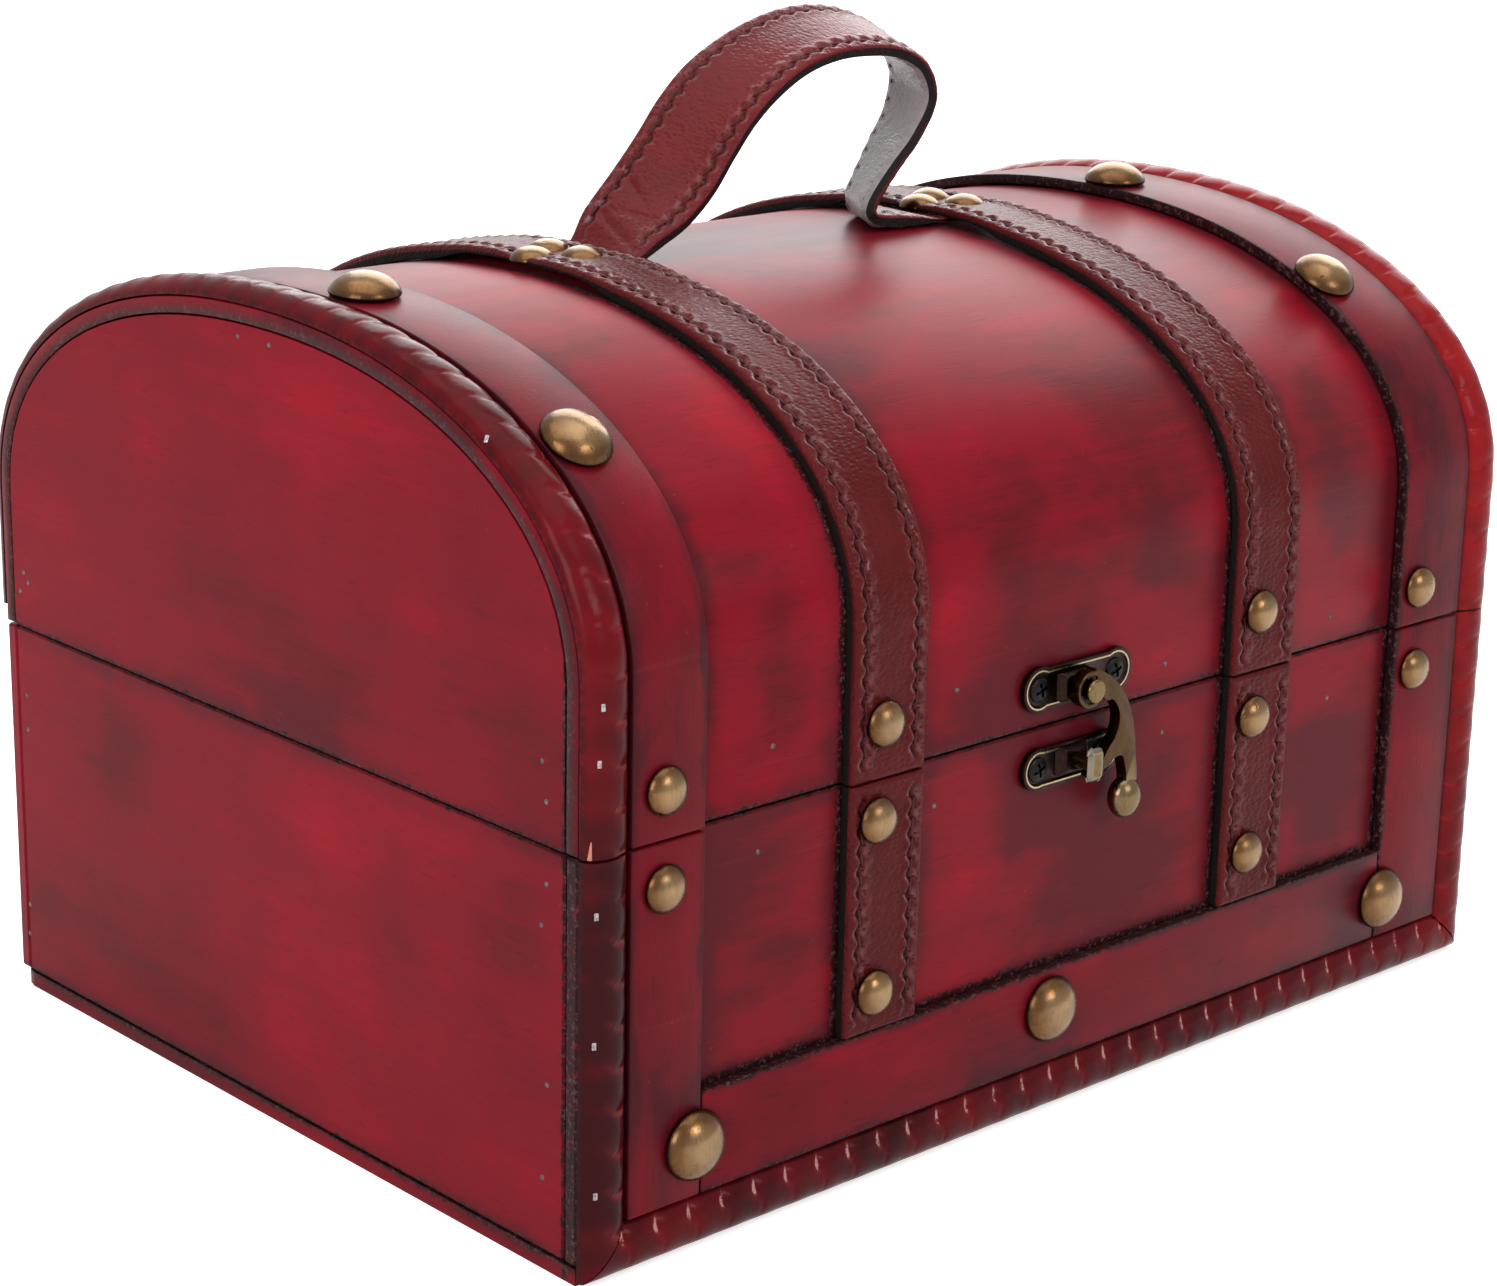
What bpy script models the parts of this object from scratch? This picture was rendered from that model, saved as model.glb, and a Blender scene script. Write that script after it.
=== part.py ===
"""Domed wooden jewelry box, dressed like a small travelling trunk.

The carcass is thin plywood over solid end boards. Scalloped bead mouldings frame the front and run
over the arched lid, flat bands carry large domed nails, and two leather straps and a leather loop
handle are nailed on top. A swing hook on the lid catches a headed post on the base.

The origin is the middle of the underside, with the front at -Y and up at +Z.
"""

import math

import bmesh
import bpy
import numpy as np
from mathutils import Matrix, Vector

MM = 0.001

# Carcass
box_width = 224.0 * MM
box_depth = 162.6 * MM
parting_height = 70.5 * MM
lid_wall = 25.1 * MM
crown_rise = 45.3 * MM
crown_fullness_share = 2.15
skin_thickness = 2.8 * MM
end_thickness = 8.0 * MM
bottom_thickness = 2.8 * MM
bottom_corner_radius = 4.0 * MM
parting_gap = 0.5 * MM
seat_gap = 0.3 * MM
board_edge = 0.4 * MM

# Rails inside the corners
rail_depth = 9.0 * MM
rail_height = 15.0 * MM
back_rail_drop = 6.0 * MM
ridge_rail_width = 18.0 * MM
ridge_rail_height = 8.0 * MM

# Scalloped beads
bead_width = 8.5 * MM
bead_rise = 3.1 * MM
bead_pitch = 6.9 * MM
bead_notch_share = 0.86
bead_foot_gap = 0.4 * MM
back_stop = 3.0 * MM

# How far the straps, the handle and the clasp sit to the left of the middle
dress_shift = 2.0 * MM

# Flat bands
left_band_width = 14.9 * MM
right_band_width = 18.9 * MM
band_thickness = 2.0 * MM
bottom_band_height = 17.6 * MM
band_edge = 0.3 * MM

# Leather straps
strap_width = 16.5 * MM
strap_place_share = 0.21
strap_thickness = 2.4 * MM
strap_over_foot = 1.4 * MM

# Leather handle
handle_width = 18.8 * MM
handle_thickness = 2.6 * MM
handle_foot = 0.8 * MM
handle_rise = 35.4 * MM

# Domed nails
large_nail = 12.0 * MM
large_nail_rise = 3.8 * MM
medium_nail = 8.0 * MM
medium_nail_rise = 2.6 * MM
nail_rim = 0.5 * MM

# Swing hook clasp
clasp_plate_thickness = 1.0 * MM
clasp_plate_edge = 0.35 * MM
clasp_boss_rise = 1.2 * MM
clasp_plate_offset = 7.1 * MM
latch_left_lobe = 10.2 * MM
latch_right_lobe = 8.6 * MM
latch_lobe_radius = 4.1 * MM
keeper_left_lobe = 9.8 * MM
keeper_right_lobe = 7.0 * MM
keeper_lobe_radius = 3.8 * MM
clasp_waist = 2.7 * MM
clasp_boss_length = 8.4 * MM
clasp_boss_height = 5.6 * MM
clasp_screw = 4.4 * MM
clasp_screw_rise = 0.6 * MM
pivot_x = -4.0 * MM
pivot_offset = 6.6 * MM
post_x = -3.6 * MM
post_offset = 6.5 * MM
rivet_radius = 1.2 * MM
rivet_head_radius = 2.1 * MM
rivet_head_rise = 1.0 * MM
rivet_clearance = 0.3 * MM
post_radius = 1.4 * MM
post_head_width = 3.8 * MM
post_head_height = 6.0 * MM
post_head_thickness = 1.4 * MM
post_head_edge = 0.6 * MM
hook_thickness = 2.4 * MM
hook_lift = 0.6 * MM
hook_hub_radius = 3.3 * MM
hook_length = 22.0 * MM
hook_ball_radius = 3.6 * MM
hook_ball_thickness = 5.2 * MM
hook_edge = 0.5 * MM

# Butt hinges on the back
hinge_band_gap = 6.3 * MM
hinge_strap_gap = 2.7 * MM
hinge_leaf_height = 11.0 * MM
hinge_leaf_thickness = 1.0 * MM
hinge_leaf_corner = 2.0 * MM
hinge_barrel_radius = 1.75 * MM
hinge_pin_radius = 0.8 * MM
hinge_clearance = 0.3 * MM
hinge_knuckle_share = 0.34
hinge_screw = 3.4 * MM
hinge_screw_rise = 0.5 * MM

# How finely the round shapes are divided
arch_steps = 48
path_samples = 1600
bead_steps_per_pitch = 3
bead_crown_points = 4
bead_flank_degrees = 20
nail_segments = 12
nail_rings = 3
round_segments = 16
lobe_segments = 8
corner_segments = 3
hinge_segments = 10
hook_steps = 2
ball_steps = 8
route_steps = 3
cutter_overrun = 2.0 * MM

# Angles that part an edge from a curve, in degrees
bevel_degrees = 40
sharp_degrees = 35
soft_sharp_degrees = 50
head_flat_share = 0.75

# Places that follow from the sizes above
half_width = box_width / 2
half_depth = box_depth / 2
base_rim = parting_height - parting_gap / 2
lid_rim = parting_height + parting_gap / 2
spring_height = lid_rim + lid_wall
crown_height = spring_height + crown_rise
floor_top = bottom_thickness + seat_gap
inner_half_depth = half_depth - skin_thickness - seat_gap
inner_half_width = half_width - end_thickness - seat_gap
bead_inner_x = half_width - bead_width
band_outer_x = bead_inner_x - seat_gap
left_band_inner = left_band_width - band_outer_x
right_band_inner = band_outer_x - right_band_width
bead_top = bead_foot_gap + bead_width
bottom_band_low = bead_top + seat_gap
bottom_band_high = bottom_band_low + bottom_band_height
foot_gap_height = crown_height + seat_gap
foot_middle = foot_gap_height + handle_foot / 2
hinge_axis_y = half_depth + seat_gap + hinge_barrel_radius
strap_centre = box_width * strap_place_share
hinge_inner_x = strap_centre + dress_shift + strap_width / 2 + hinge_strap_gap
hinge_outer_x = right_band_inner - hinge_band_gap
hinge_length = hinge_outer_x - hinge_inner_x
hinge_centre = (hinge_inner_x + hinge_outer_x) / 2
hook_back = seat_gap + clasp_plate_thickness + clasp_boss_rise + hook_lift
hook_front = hook_back + hook_thickness
latch_z = parting_height + clasp_plate_offset
keeper_z = parting_height - clasp_plate_offset
pivot_z = parting_height + pivot_offset
post_z = parting_height - post_offset

# Hook outline, clockwise from the hub, as shares of the hook's length from the pivot
hook_outline_shares = (
    (0.035, 0.148), (0.160, 0.105), (0.300, 0.000), (0.415, -0.145), (0.490, -0.315),
    (0.530, -0.480), (0.552, -0.650), (0.575, -0.780), (0.560, -0.900), (0.470, -0.900),
    (0.452, -0.780), (0.430, -0.700), (0.400, -0.620), (0.335, -0.605), (0.235, -0.645),
    (0.135, -0.710), (0.040, -0.725), (0.052, -0.685), (0.105, -0.660), (0.160, -0.605),
    (0.225, -0.520), (0.300, -0.440), (0.340, -0.330), (0.325, -0.220), (0.250, -0.125), (0.150, -0.100),
)
hook_ball_share = (0.500, -0.985)

# Handle route: along the strap centre, up the rise, lean along, lean up, and how full the leather is
handle_route_shares = (
    (-1.060, 0.000, 0.00, 0.00, 0.0), (-0.900, 0.000, 0.00, 0.00, 0.0), (-0.812, 0.002, 0.00, 0.00, 0.0),
    (-0.765, 0.035, 0.00, 0.04, 0.5), (-0.690, 0.130, -0.06, 0.18, 1.0), (-0.560, 0.258, -0.14, 0.34, 1.0),
    (-0.440, 0.410, -0.18, 0.42, 1.0), (-0.334, 0.580, -0.16, 0.43, 1.0), (-0.217, 0.734, -0.09, 0.40, 1.0),
    (-0.080, 0.853, -0.02, 0.34, 1.0), (0.072, 0.942, 0.04, 0.31, 1.0), (0.232, 0.992, 0.07, 0.31, 1.0),
    (0.398, 1.000, 0.10, 0.31, 1.0), (0.570, 0.965, 0.13, 0.27, 1.0), (0.720, 0.870, 0.20, 0.24, 1.0),
    (0.805, 0.700, 0.34, 0.22, 1.0), (0.755, 0.500, 0.46, 0.16, 1.0), (0.665, 0.350, 0.50, 0.08, 1.0),
    (0.590, 0.220, 0.53, 0.02, 1.0), (0.545, 0.130, 0.54, 0.00, 1.0), (0.540, 0.075, 0.54, 0.00, 1.0),
    (0.570, 0.037, 0.48, 0.00, 1.0), (0.640, 0.022, 0.30, 0.00, 0.95), (0.720, 0.012, 0.12, 0.00, 0.6),
    (0.800, 0.002, 0.00, 0.00, 0.0), (0.900, 0.000, 0.00, 0.00, 0.0), (1.060, 0.000, 0.00, 0.00, 0.0),
)

# Nails that hold the handle's feet, as shares of half the strap's width and half the handle's width
handle_nail_shares = ((-0.62, 0.10), (0.27, -0.40), (0.24, 0.56))

# Large nails of the left and right band on the lid: inwards of the band's inner edge as a share of the
# nail's width, and the place on the crown as a share of the half turn, front nail before top nail
large_nail_shares = (((0.77, 0.234), (0.77, 0.467)), ((0.40, 0.265), (0.40, 0.486)))

# Medium nails of the left and right band, as shares of the nail's width: away from the band's inner
# edge, and away from the parting line, lid before base
band_nail_shares = (((1.08, 1.02), (1.08, 0.89)), ((0.68, 0.91), (0.69, 1.02)))

# Medium nails of the left and right strap, as shares of the nail's width: across from the strap's
# middle, and away from the strap's end, for the lid, the top of the base and the foot of the base
strap_nail_shares = (
    ((-0.22, 1.18), (-0.35, 0.77), (-0.30, 0.92)),
    ((-0.29, 1.39), (-0.34, 0.98), (-0.29, 1.22)),
)

# Large nails of the bottom band, as shares of the nail's width: across from the band's left end, its
# middle and its right end, and up from the middle of its height
bottom_nail_shares = ((-0.15, 0.04), (-0.66, 0.13), (0.03, -0.05))


def clear_scene():
    """Remove what the start-up scene holds."""
    for item in list(bpy.data.objects):
        bpy.data.objects.remove(item, do_unlink=True)


def make_material(name, colour, roughness, metallic=0.0):
    """Return a Principled material."""
    material = bpy.data.materials.new(name)
    material.use_nodes = True
    shader = material.node_tree.nodes["Principled BSDF"]
    shader.inputs["Base Color"].default_value = (*colour, 1.0)
    shader.inputs["Roughness"].default_value = roughness
    shader.inputs["Metallic"].default_value = metallic
    material.diffuse_color = (*colour, 1.0)
    return material


def add_object(name, shape, material, parent=None, origin=(0.0, 0.0, 0.0)):
    """Turn a bmesh, given in world places, into an object whose own origin is at the given place."""
    bmesh.ops.recalc_face_normals(shape, faces=shape.faces)
    mesh = bpy.data.meshes.new(name)
    shape.to_mesh(mesh)
    shape.free()
    mesh.transform(Matrix.Translation(-Vector(origin)))
    mesh.materials.append(material)
    item = bpy.data.objects.new(name, mesh)
    bpy.context.scene.collection.objects.link(item)
    item.location = origin
    if parent is not None:
        item.parent = parent
        item.matrix_parent_inverse = Matrix.Translation(-parent.location)
    return item


def add_pivot(name, place):
    """Add an empty that carries the pieces of a moving body on its joint's axis."""
    pivot = bpy.data.objects.new(name, None)
    bpy.context.scene.collection.objects.link(pivot)
    pivot.location = place
    return pivot


def soften(item, width):
    """Ease the sharp edges of an object with a bevel."""
    bevel = item.modifiers.new("edges", "BEVEL")
    bevel.width = width
    bevel.segments = 1
    bevel.limit_method = "ANGLE"
    bevel.angle_limit = math.radians(bevel_degrees)


def shade_round(item, degrees=sharp_degrees):
    """Shade an object smooth, with its real edges kept sharp."""
    item.data.shade_smooth()
    item.data.set_sharp_from_angle(angle=math.radians(degrees))


def as_guide(item):
    """Mark an object as a shape that only serves another object's modifier."""
    item.hide_render = True
    item.display_type = "WIRE"


def join_with(item, pieces):
    """Fuse pieces into an object, so that they are one closed body."""
    for piece in pieces:
        as_guide(piece)
        union = item.modifiers.new("fuse " + piece.name, "BOOLEAN")
        union.operation = "UNION"
        union.object = piece


def cut_with(item, cutter):
    """Cut one shape out of an object."""
    as_guide(cutter)
    cut = item.modifiers.new("cut " + cutter.name, "BOOLEAN")
    cut.operation = "DIFFERENCE"
    cut.object = cutter


def box_shape(low, high):
    """Return a bmesh box between two corners."""
    shape = bmesh.new()
    bmesh.ops.create_cube(shape, size=1.0)
    low, high = Vector(low), Vector(high)
    middle, span = (low + high) / 2, high - low
    for vertex in shape.verts:
        vertex.co = middle + Vector(part * size for part, size in zip(vertex.co, span))
    return shape


def prism_shape(outline, near, far, place):
    """Return a prism whose outline is set by place(across, up, along) between two distances."""
    shape = bmesh.new()
    rings = [[shape.verts.new(place(across, up, along)) for across, up in outline] for along in (near, far)]
    shape.faces.new(rings[0])
    shape.faces.new(reversed(rings[1]))
    count = len(outline)
    for index in range(count):
        after = (index + 1) % count
        shape.faces.new((rings[0][index], rings[1][index], rings[1][after], rings[0][after]))
    return shape


def on_front(across, up, out):
    """Place a point that lies a distance out from the front face."""
    return Vector((across, -half_depth - out, up))


def on_back(across, up, out):
    """Place a point that lies a distance out from the back face."""
    return Vector((across, half_depth + out, up))


def along_width(across, up, along):
    """Place a point of a side profile along the box's width."""
    return Vector((along, across, up))


def flat_on_floor(across, up, along):
    """Place a point of a plan outline at a height."""
    return Vector((across, up, along))


def arc(centre, radius, start, end, segments):
    """Return points along an arc between two angles in degrees."""
    turns = np.radians(np.linspace(start, end, segments + 1))
    return [(centre[0] + radius * math.cos(turn), centre[1] + radius * math.sin(turn)) for turn in turns]


def loft_shape(rings):
    """Return a closed body through rings of points, with a face over each end."""
    shape = bmesh.new()
    grid = [[shape.verts.new(point) for point in ring] for ring in rings]
    for near, far in zip(grid, grid[1:]):
        for index in range(len(near)):
            after = (index + 1) % len(near)
            shape.faces.new((near[index], near[after], far[after], far[index]))
    shape.faces.new(reversed(grid[0]))
    shape.faces.new(grid[-1])
    return shape


def crown_curve(turn):
    """Return the place and normal (y, z, ny, nz) of the lid's crown at a turn from front to back."""
    full = crown_fullness_share
    cosine, sine = math.cos(turn), math.sin(turn)
    y = -half_depth * math.copysign(abs(cosine) ** (2 / full), cosine)
    z = crown_rise * abs(sine) ** (2 / full)
    slope_y = math.copysign(abs(y / half_depth) ** (full - 1), y) / half_depth
    slope_z = (z / crown_rise) ** (full - 1) / crown_rise
    steepness = math.hypot(slope_y, slope_z)
    return y, spring_height + z, slope_y / steepness, slope_z / steepness


def trace_lid():
    """Return the lid's outer path from the front rim to the back rim: lengths, places and normals."""
    points = [(-half_depth, lid_rim, -1.0, 0.0)]
    points += [crown_curve(turn) for turn in np.linspace(0, math.pi, path_samples)]
    points.append((half_depth, lid_rim, 1.0, 0.0))
    table = np.array(points)
    steps = np.hypot(np.diff(table[:, 0]), np.diff(table[:, 1]))
    return np.concatenate(([0.0], np.cumsum(steps))), table


lid_lengths, lid_table = trace_lid()
lid_path_length = float(lid_lengths[-1])
arch_step = lid_path_length / arch_steps


def on_lid(length, out=0.0):
    """Return the point (y, z) at a length along the lid's path, lying a distance out from the skin."""
    y, z, normal_y, normal_z = (float(np.interp(length, lid_lengths, column)) for column in lid_table.T)
    return y + out * normal_y, z + out * normal_z


def lid_normal(length):
    """Return the outward direction at a length along the lid's path."""
    normal_y, normal_z = (float(np.interp(length, lid_lengths, column)) for column in lid_table.T[2:])
    return Vector((0.0, normal_y, normal_z)).normalized()


def length_at_turn(turn_share):
    """Return the path length of a place on the crown, given as a share of the half turn."""
    y = crown_curve(math.pi * turn_share)[0]
    return float(np.interp(y, lid_table[1:-1, 0], lid_lengths[1:-1]))


def lid_marks(start, end):
    """Return the shared marks along the lid's path that lie between two lengths, with both ends."""
    inner = [step * arch_step for step in range(1, arch_steps) if start < step * arch_step < end]
    return [start, *inner, end]


def make_board(name, low, high, material, parent=None):
    """Add a straight board with eased edges."""
    board = add_object(name, box_shape(low, high), material, parent)
    soften(board, board_edge)
    return board


def make_lid_strip(name, low_x, high_x, end, inner, outer, material, parent):
    """Add a strip that follows the lid, with its two faces set by functions of length."""
    marks = lid_marks(0.0, end)
    outline = [on_lid(mark, outer(mark)) for mark in marks]
    outline += [on_lid(mark, inner(mark)) for mark in reversed(marks)]
    strip = add_object(name, prism_shape(outline, low_x, high_x, along_width), material, parent)
    shade_round(strip)
    return strip


def bead_profile(swell):
    """Return the bead's half-ellipse section as (across, out) pairs, with its crown at a swell share."""
    half = bead_width / 2
    crown = [
        (half * swell * math.cos(turn), bead_rise * swell * math.sin(turn))
        for turn in np.radians(np.linspace(180 - bead_flank_degrees, bead_flank_degrees, bead_crown_points))
    ]
    return [(-half, 0.0), *crown, (half, 0.0)]


def bead_marks(start, end):
    """Return (length, swell) pairs along a bead: a notch and two full places in each pitch."""
    count = max(1, round((end - start) / bead_pitch))
    pitch = (end - start) / count
    marks = []
    for index in range(count):
        low = start + index * pitch
        marks.append((low, bead_notch_share))
        for step in range(1, bead_steps_per_pitch):
            marks.append((low + pitch * (2 * step - 1) / (2 * bead_steps_per_pitch - 2), 1.0))
    return [*marks, (end, bead_notch_share)]


def make_bead(name, marks, place, material, parent=None):
    """Add a scalloped bead whose section is set by place(length, across, out)."""
    rings = [
        [place(length, across, out) for across, out in bead_profile(swell)]
        for length, swell in marks
    ]
    bead = add_object(name, loft_shape(rings), material, parent)
    shade_round(bead, soft_sharp_degrees)
    return bead


def mitre(item, point, direction):
    """Cut a bead's end along a plane, and close it again."""
    shape = bmesh.new()
    shape.from_mesh(item.data)
    parts = shape.verts[:] + shape.edges[:] + shape.faces[:]
    bmesh.ops.bisect_plane(shape, geom=parts, plane_co=point, plane_no=direction, clear_outer=True)
    open_edges = [edge for edge in shape.edges if edge.is_boundary]
    bmesh.ops.holes_fill(shape, edges=open_edges, sides=0)
    bmesh.ops.recalc_face_normals(shape, faces=shape.faces)
    shape.to_mesh(item.data)
    shape.free()


def make_nail(name, diameter, rise, seat, direction, material, parent=None):
    """Add a domed nail head standing on its seat."""
    radius = diameter / 2
    dome = rise - nail_rim
    profile = [(0.0, 0.0), (radius, 0.0), (radius, nail_rim)]
    for ring in range(1, nail_rings):
        turn = math.pi / 2 * ring / nail_rings
        profile.append((radius * math.cos(turn), nail_rim + dome * math.sin(turn)))
    profile.append((0.0, rise))
    shape = turned_shape(profile, nail_segments)
    turn = Vector((0.0, 0.0, 1.0)).rotation_difference(Vector(direction)).to_matrix().to_4x4()
    bmesh.ops.transform(shape, matrix=Matrix.Translation(Vector(seat)) @ turn, verts=shape.verts)
    nail = add_object(name, shape, material, parent)
    shade_round(nail, soft_sharp_degrees)
    return nail


def turned_shape(profile, segments):
    """Return a solid of revolution about Z from (radius, height) pairs that start and end on the axis."""
    shape = bmesh.new()
    verts = [shape.verts.new((radius, 0.0, height)) for radius, height in profile]
    edges = [shape.edges.new(pair) for pair in zip(verts, verts[1:])]
    bmesh.ops.spin(
        shape, geom=verts + edges, cent=(0.0, 0.0, 0.0), axis=(0.0, 0.0, 1.0),
        angle=math.tau, steps=segments, use_merge=True,
    )
    bmesh.ops.remove_doubles(shape, verts=shape.verts, dist=seat_gap / 100)
    return shape


def turned_on(name, profile, centre, out, segments, material):
    """Add a turned piece that stands out from the front (out -1) or the back (out 1) of the box."""
    shape = turned_shape(profile, segments)
    turn = Vector((0.0, 0.0, 1.0)).rotation_difference(Vector((0.0, out, 0.0))).to_matrix().to_4x4()
    bmesh.ops.transform(shape, matrix=Matrix.Translation(Vector(centre)) @ turn, verts=shape.verts)
    return add_object(name, shape, material)


def screw_profile(diameter, rise, root):
    """Return the section of a low screw head that starts a little inside its plate."""
    radius = diameter / 2
    flat = radius * head_flat_share
    return [(0.0, -root), (radius, -root), (radius, rise / 2), (flat, rise), (0.0, rise)]


def smooth_route(rows, steps, closed=False):
    """Return rows read from a smooth curve through the given rows."""
    table = np.array(rows)
    count = len(table)
    result = []
    for index in range(count if closed else count - 1):
        if closed:
            picks = [(index + shift) % count for shift in (-1, 0, 1, 2)]
        else:
            picks = [min(max(index + shift, 0), count - 1) for shift in (-1, 0, 1, 2)]
        before, near, far, after = table[picks]
        for step in range(steps):
            t = step / steps
            result.append(0.5 * (
                2 * near + (far - before) * t
                + (2 * before - 5 * near + 4 * far - after) * t ** 2
                + (3 * near - before - 3 * far + after) * t ** 3
            ))
    if not closed:
        result.append(table[-1])
    return result


def build_base(wood):
    """Add the bottom board, the four walls and the rails in the corners."""
    corner = bottom_corner_radius
    plan = [(-half_width, -half_depth), (half_width, -half_depth)]
    plan += arc((half_width - corner, half_depth - corner), corner, 0, 90, corner_segments)
    plan += arc((corner - half_width, half_depth - corner), corner, 90, 180, corner_segments)
    bottom = add_object("bottom_board", prism_shape(plan, 0.0, bottom_thickness, flat_on_floor), wood)
    shade_round(bottom)
    for name, side in (("base_front_panel", -1), ("base_back_panel", 1)):
        faces = sorted((side * half_depth, side * (half_depth - skin_thickness)))
        make_board(name, (-half_width, faces[0], floor_top), (half_width, faces[1], base_rim), wood)
    for name, side in (("base_end_left", -1), ("base_end_right", 1)):
        faces = sorted((side * half_width, side * (half_width - end_thickness)))
        low = (faces[0], -inner_half_depth, floor_top)
        make_board(name, low, (faces[1], inner_half_depth, base_rim), wood)
    floor_rail_top = floor_top + rail_height
    make_rail("base_rail_front", -1, base_rim, wood)
    make_rail("base_rail_back", 1, base_rim - back_rail_drop, wood)
    make_rail("floor_rail_front", -1, floor_rail_top, wood)
    make_rail("floor_rail_back", 1, floor_rail_top, wood)


def make_rail(name, side, top, material, parent=None):
    """Add a rail that stiffens the front (side -1) or back (side 1) panel from end board to end board."""
    faces = sorted((side * inner_half_depth, side * (inner_half_depth - rail_depth)))
    low = (-inner_half_width, faces[0], top - rail_height)
    return make_board(name, low, (inner_half_width, faces[1], top), material, parent)


def build_lid(wood, lid):
    """Add the arched skin, the two half-round ends and the rails under the skin."""
    make_lid_strip(
        "lid_shell", -half_width, half_width, lid_path_length,
        lambda mark: -skin_thickness, lambda mark: 0.0, wood, lid,
    )
    inset = -skin_thickness - seat_gap
    outline = [on_lid(mark, inset) for mark in lid_marks(0.0, lid_path_length)]
    for name, side in (("lid_end_left", -1), ("lid_end_right", 1)):
        near, far = sorted((side * half_width, side * (half_width - end_thickness)))
        end = add_object(name, prism_shape(outline, near, far, along_width), wood, lid)
        shade_round(end)
    make_rail("lid_rail_front", -1, lid_rim + rail_height, wood, lid)
    make_rail("lid_rail_back", 1, lid_rim + rail_height, wood, lid)
    ridge_half = ridge_rail_width / 2
    ridge_length = float(np.interp(-ridge_half, lid_table[1:-1, 0], lid_lengths[1:-1]))
    ridge_top = on_lid(ridge_length, inset)[1]
    low = (-inner_half_width, -ridge_half, ridge_top - ridge_rail_height)
    make_board("lid_ridge_rail", low, (inner_half_width, ridge_half, ridge_top), wood, lid)


def build_beads(wood, lid):
    """Add the scalloped mouldings: two over the lid, two up the front corners and one along the bottom."""
    bead_centre = half_width - bead_width / 2
    lid_run = bead_marks(0.0, lid_path_length - back_stop)
    for name, side in (("lid_bead_left", -1), ("lid_bead_right", 1)):
        def over_lid(length, across, out, side=side):
            return Vector((side * bead_centre + across, *on_lid(length, seat_gap + out)))
        make_bead(name, lid_run, over_lid, wood, lid)
    mitre_gap = seat_gap / 2
    up_run = bead_marks(bead_foot_gap, base_rim)
    for name, side in (("corner_bead_left", -1), ("corner_bead_right", 1)):
        def up_corner(length, across, out, side=side):
            return on_front(side * bead_centre + across, length, seat_gap + out)
        bead = make_bead(name, up_run, up_corner, wood)
        point = on_front(side * half_width, bead_foot_gap + mitre_gap * math.sqrt(2), 0.0)
        mitre(bead, point, Vector((-side, 0.0, -1.0)).normalized())

    def along_bottom(length, across, out):
        return on_front(length, bead_foot_gap + bead_width / 2 + across, seat_gap + out)
    bottom = make_bead("bottom_bead", bead_marks(-half_width, half_width), along_bottom, wood)
    for side in (-1, 1):
        point = on_front(side * half_width, bead_foot_gap - mitre_gap * math.sqrt(2), 0.0)
        mitre(bottom, point, Vector((side, 0.0, 1.0)).normalized())


def build_bands(wood, lid):
    """Add the flat bands: two over the lid, two up the front and one between them at the bottom."""
    back = seat_gap
    face = seat_gap + band_thickness
    spans = (("left", -band_outer_x, left_band_inner), ("right", right_band_inner, band_outer_x))
    for name, near, far in spans:
        over = make_lid_strip(
            "lid_band_" + name, near, far, lid_path_length - back_stop,
            lambda mark: back, lambda mark: face, wood, lid,
        )
        soften(over, band_edge)
        low = on_front(near, bottom_band_low, face)
        upright = add_object("base_band_" + name, box_shape(low, on_front(far, base_rim, back)), wood)
        soften(upright, band_edge)
    low = on_front(left_band_inner + seat_gap, bottom_band_low, face)
    high = on_front(right_band_inner - seat_gap, bottom_band_high, back)
    lower = add_object("bottom_band", box_shape(low, high), wood)
    soften(lower, band_edge)


def foot_cover(mark):
    """Return how far the strap is lifted over the handle's foot, from 0 to 1, at a length along the lid."""
    away = abs(mark - lid_path_length / 2) - handle_width / 2 - arch_step
    share = min(max(1 - away / (2 * arch_step), 0.0), 1.0)
    return share * share * (3 - 2 * share)


def strap_inner(mark):
    """Return the gap under a lid strap at a length along the lid."""
    edge_drop = crown_height - on_lid(lid_path_length / 2 + handle_width / 2)[1]
    return seat_gap + foot_cover(mark) * (handle_foot + seat_gap + edge_drop)


def strap_outer(mark):
    """Return the height of a lid strap's face at a length along the lid."""
    share = foot_cover(mark)
    return strap_inner(mark) + strap_thickness + share * (strap_over_foot - strap_thickness)


def strap_middle(side):
    """Return the middle of the left (side -1) or right (side 1) strap across the box."""
    return side * strap_centre - dress_shift


def build_straps(leather, lid):
    """Add the leather straps, in one length over the lid and one down the front of the base."""
    half = strap_width / 2
    for name, side in (("left", -1), ("right", 1)):
        near, far = strap_middle(side) - half, strap_middle(side) + half
        make_lid_strip(
            "lid_strap_" + name, near, far, lid_path_length - back_stop,
            strap_inner, strap_outer, leather, lid,
        )
        low = on_front(near, bottom_band_high + seat_gap, seat_gap + strap_thickness)
        lower = add_object("base_strap_" + name, box_shape(low, on_front(far, base_rim, seat_gap)), leather)
        soften(lower, band_edge)


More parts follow.
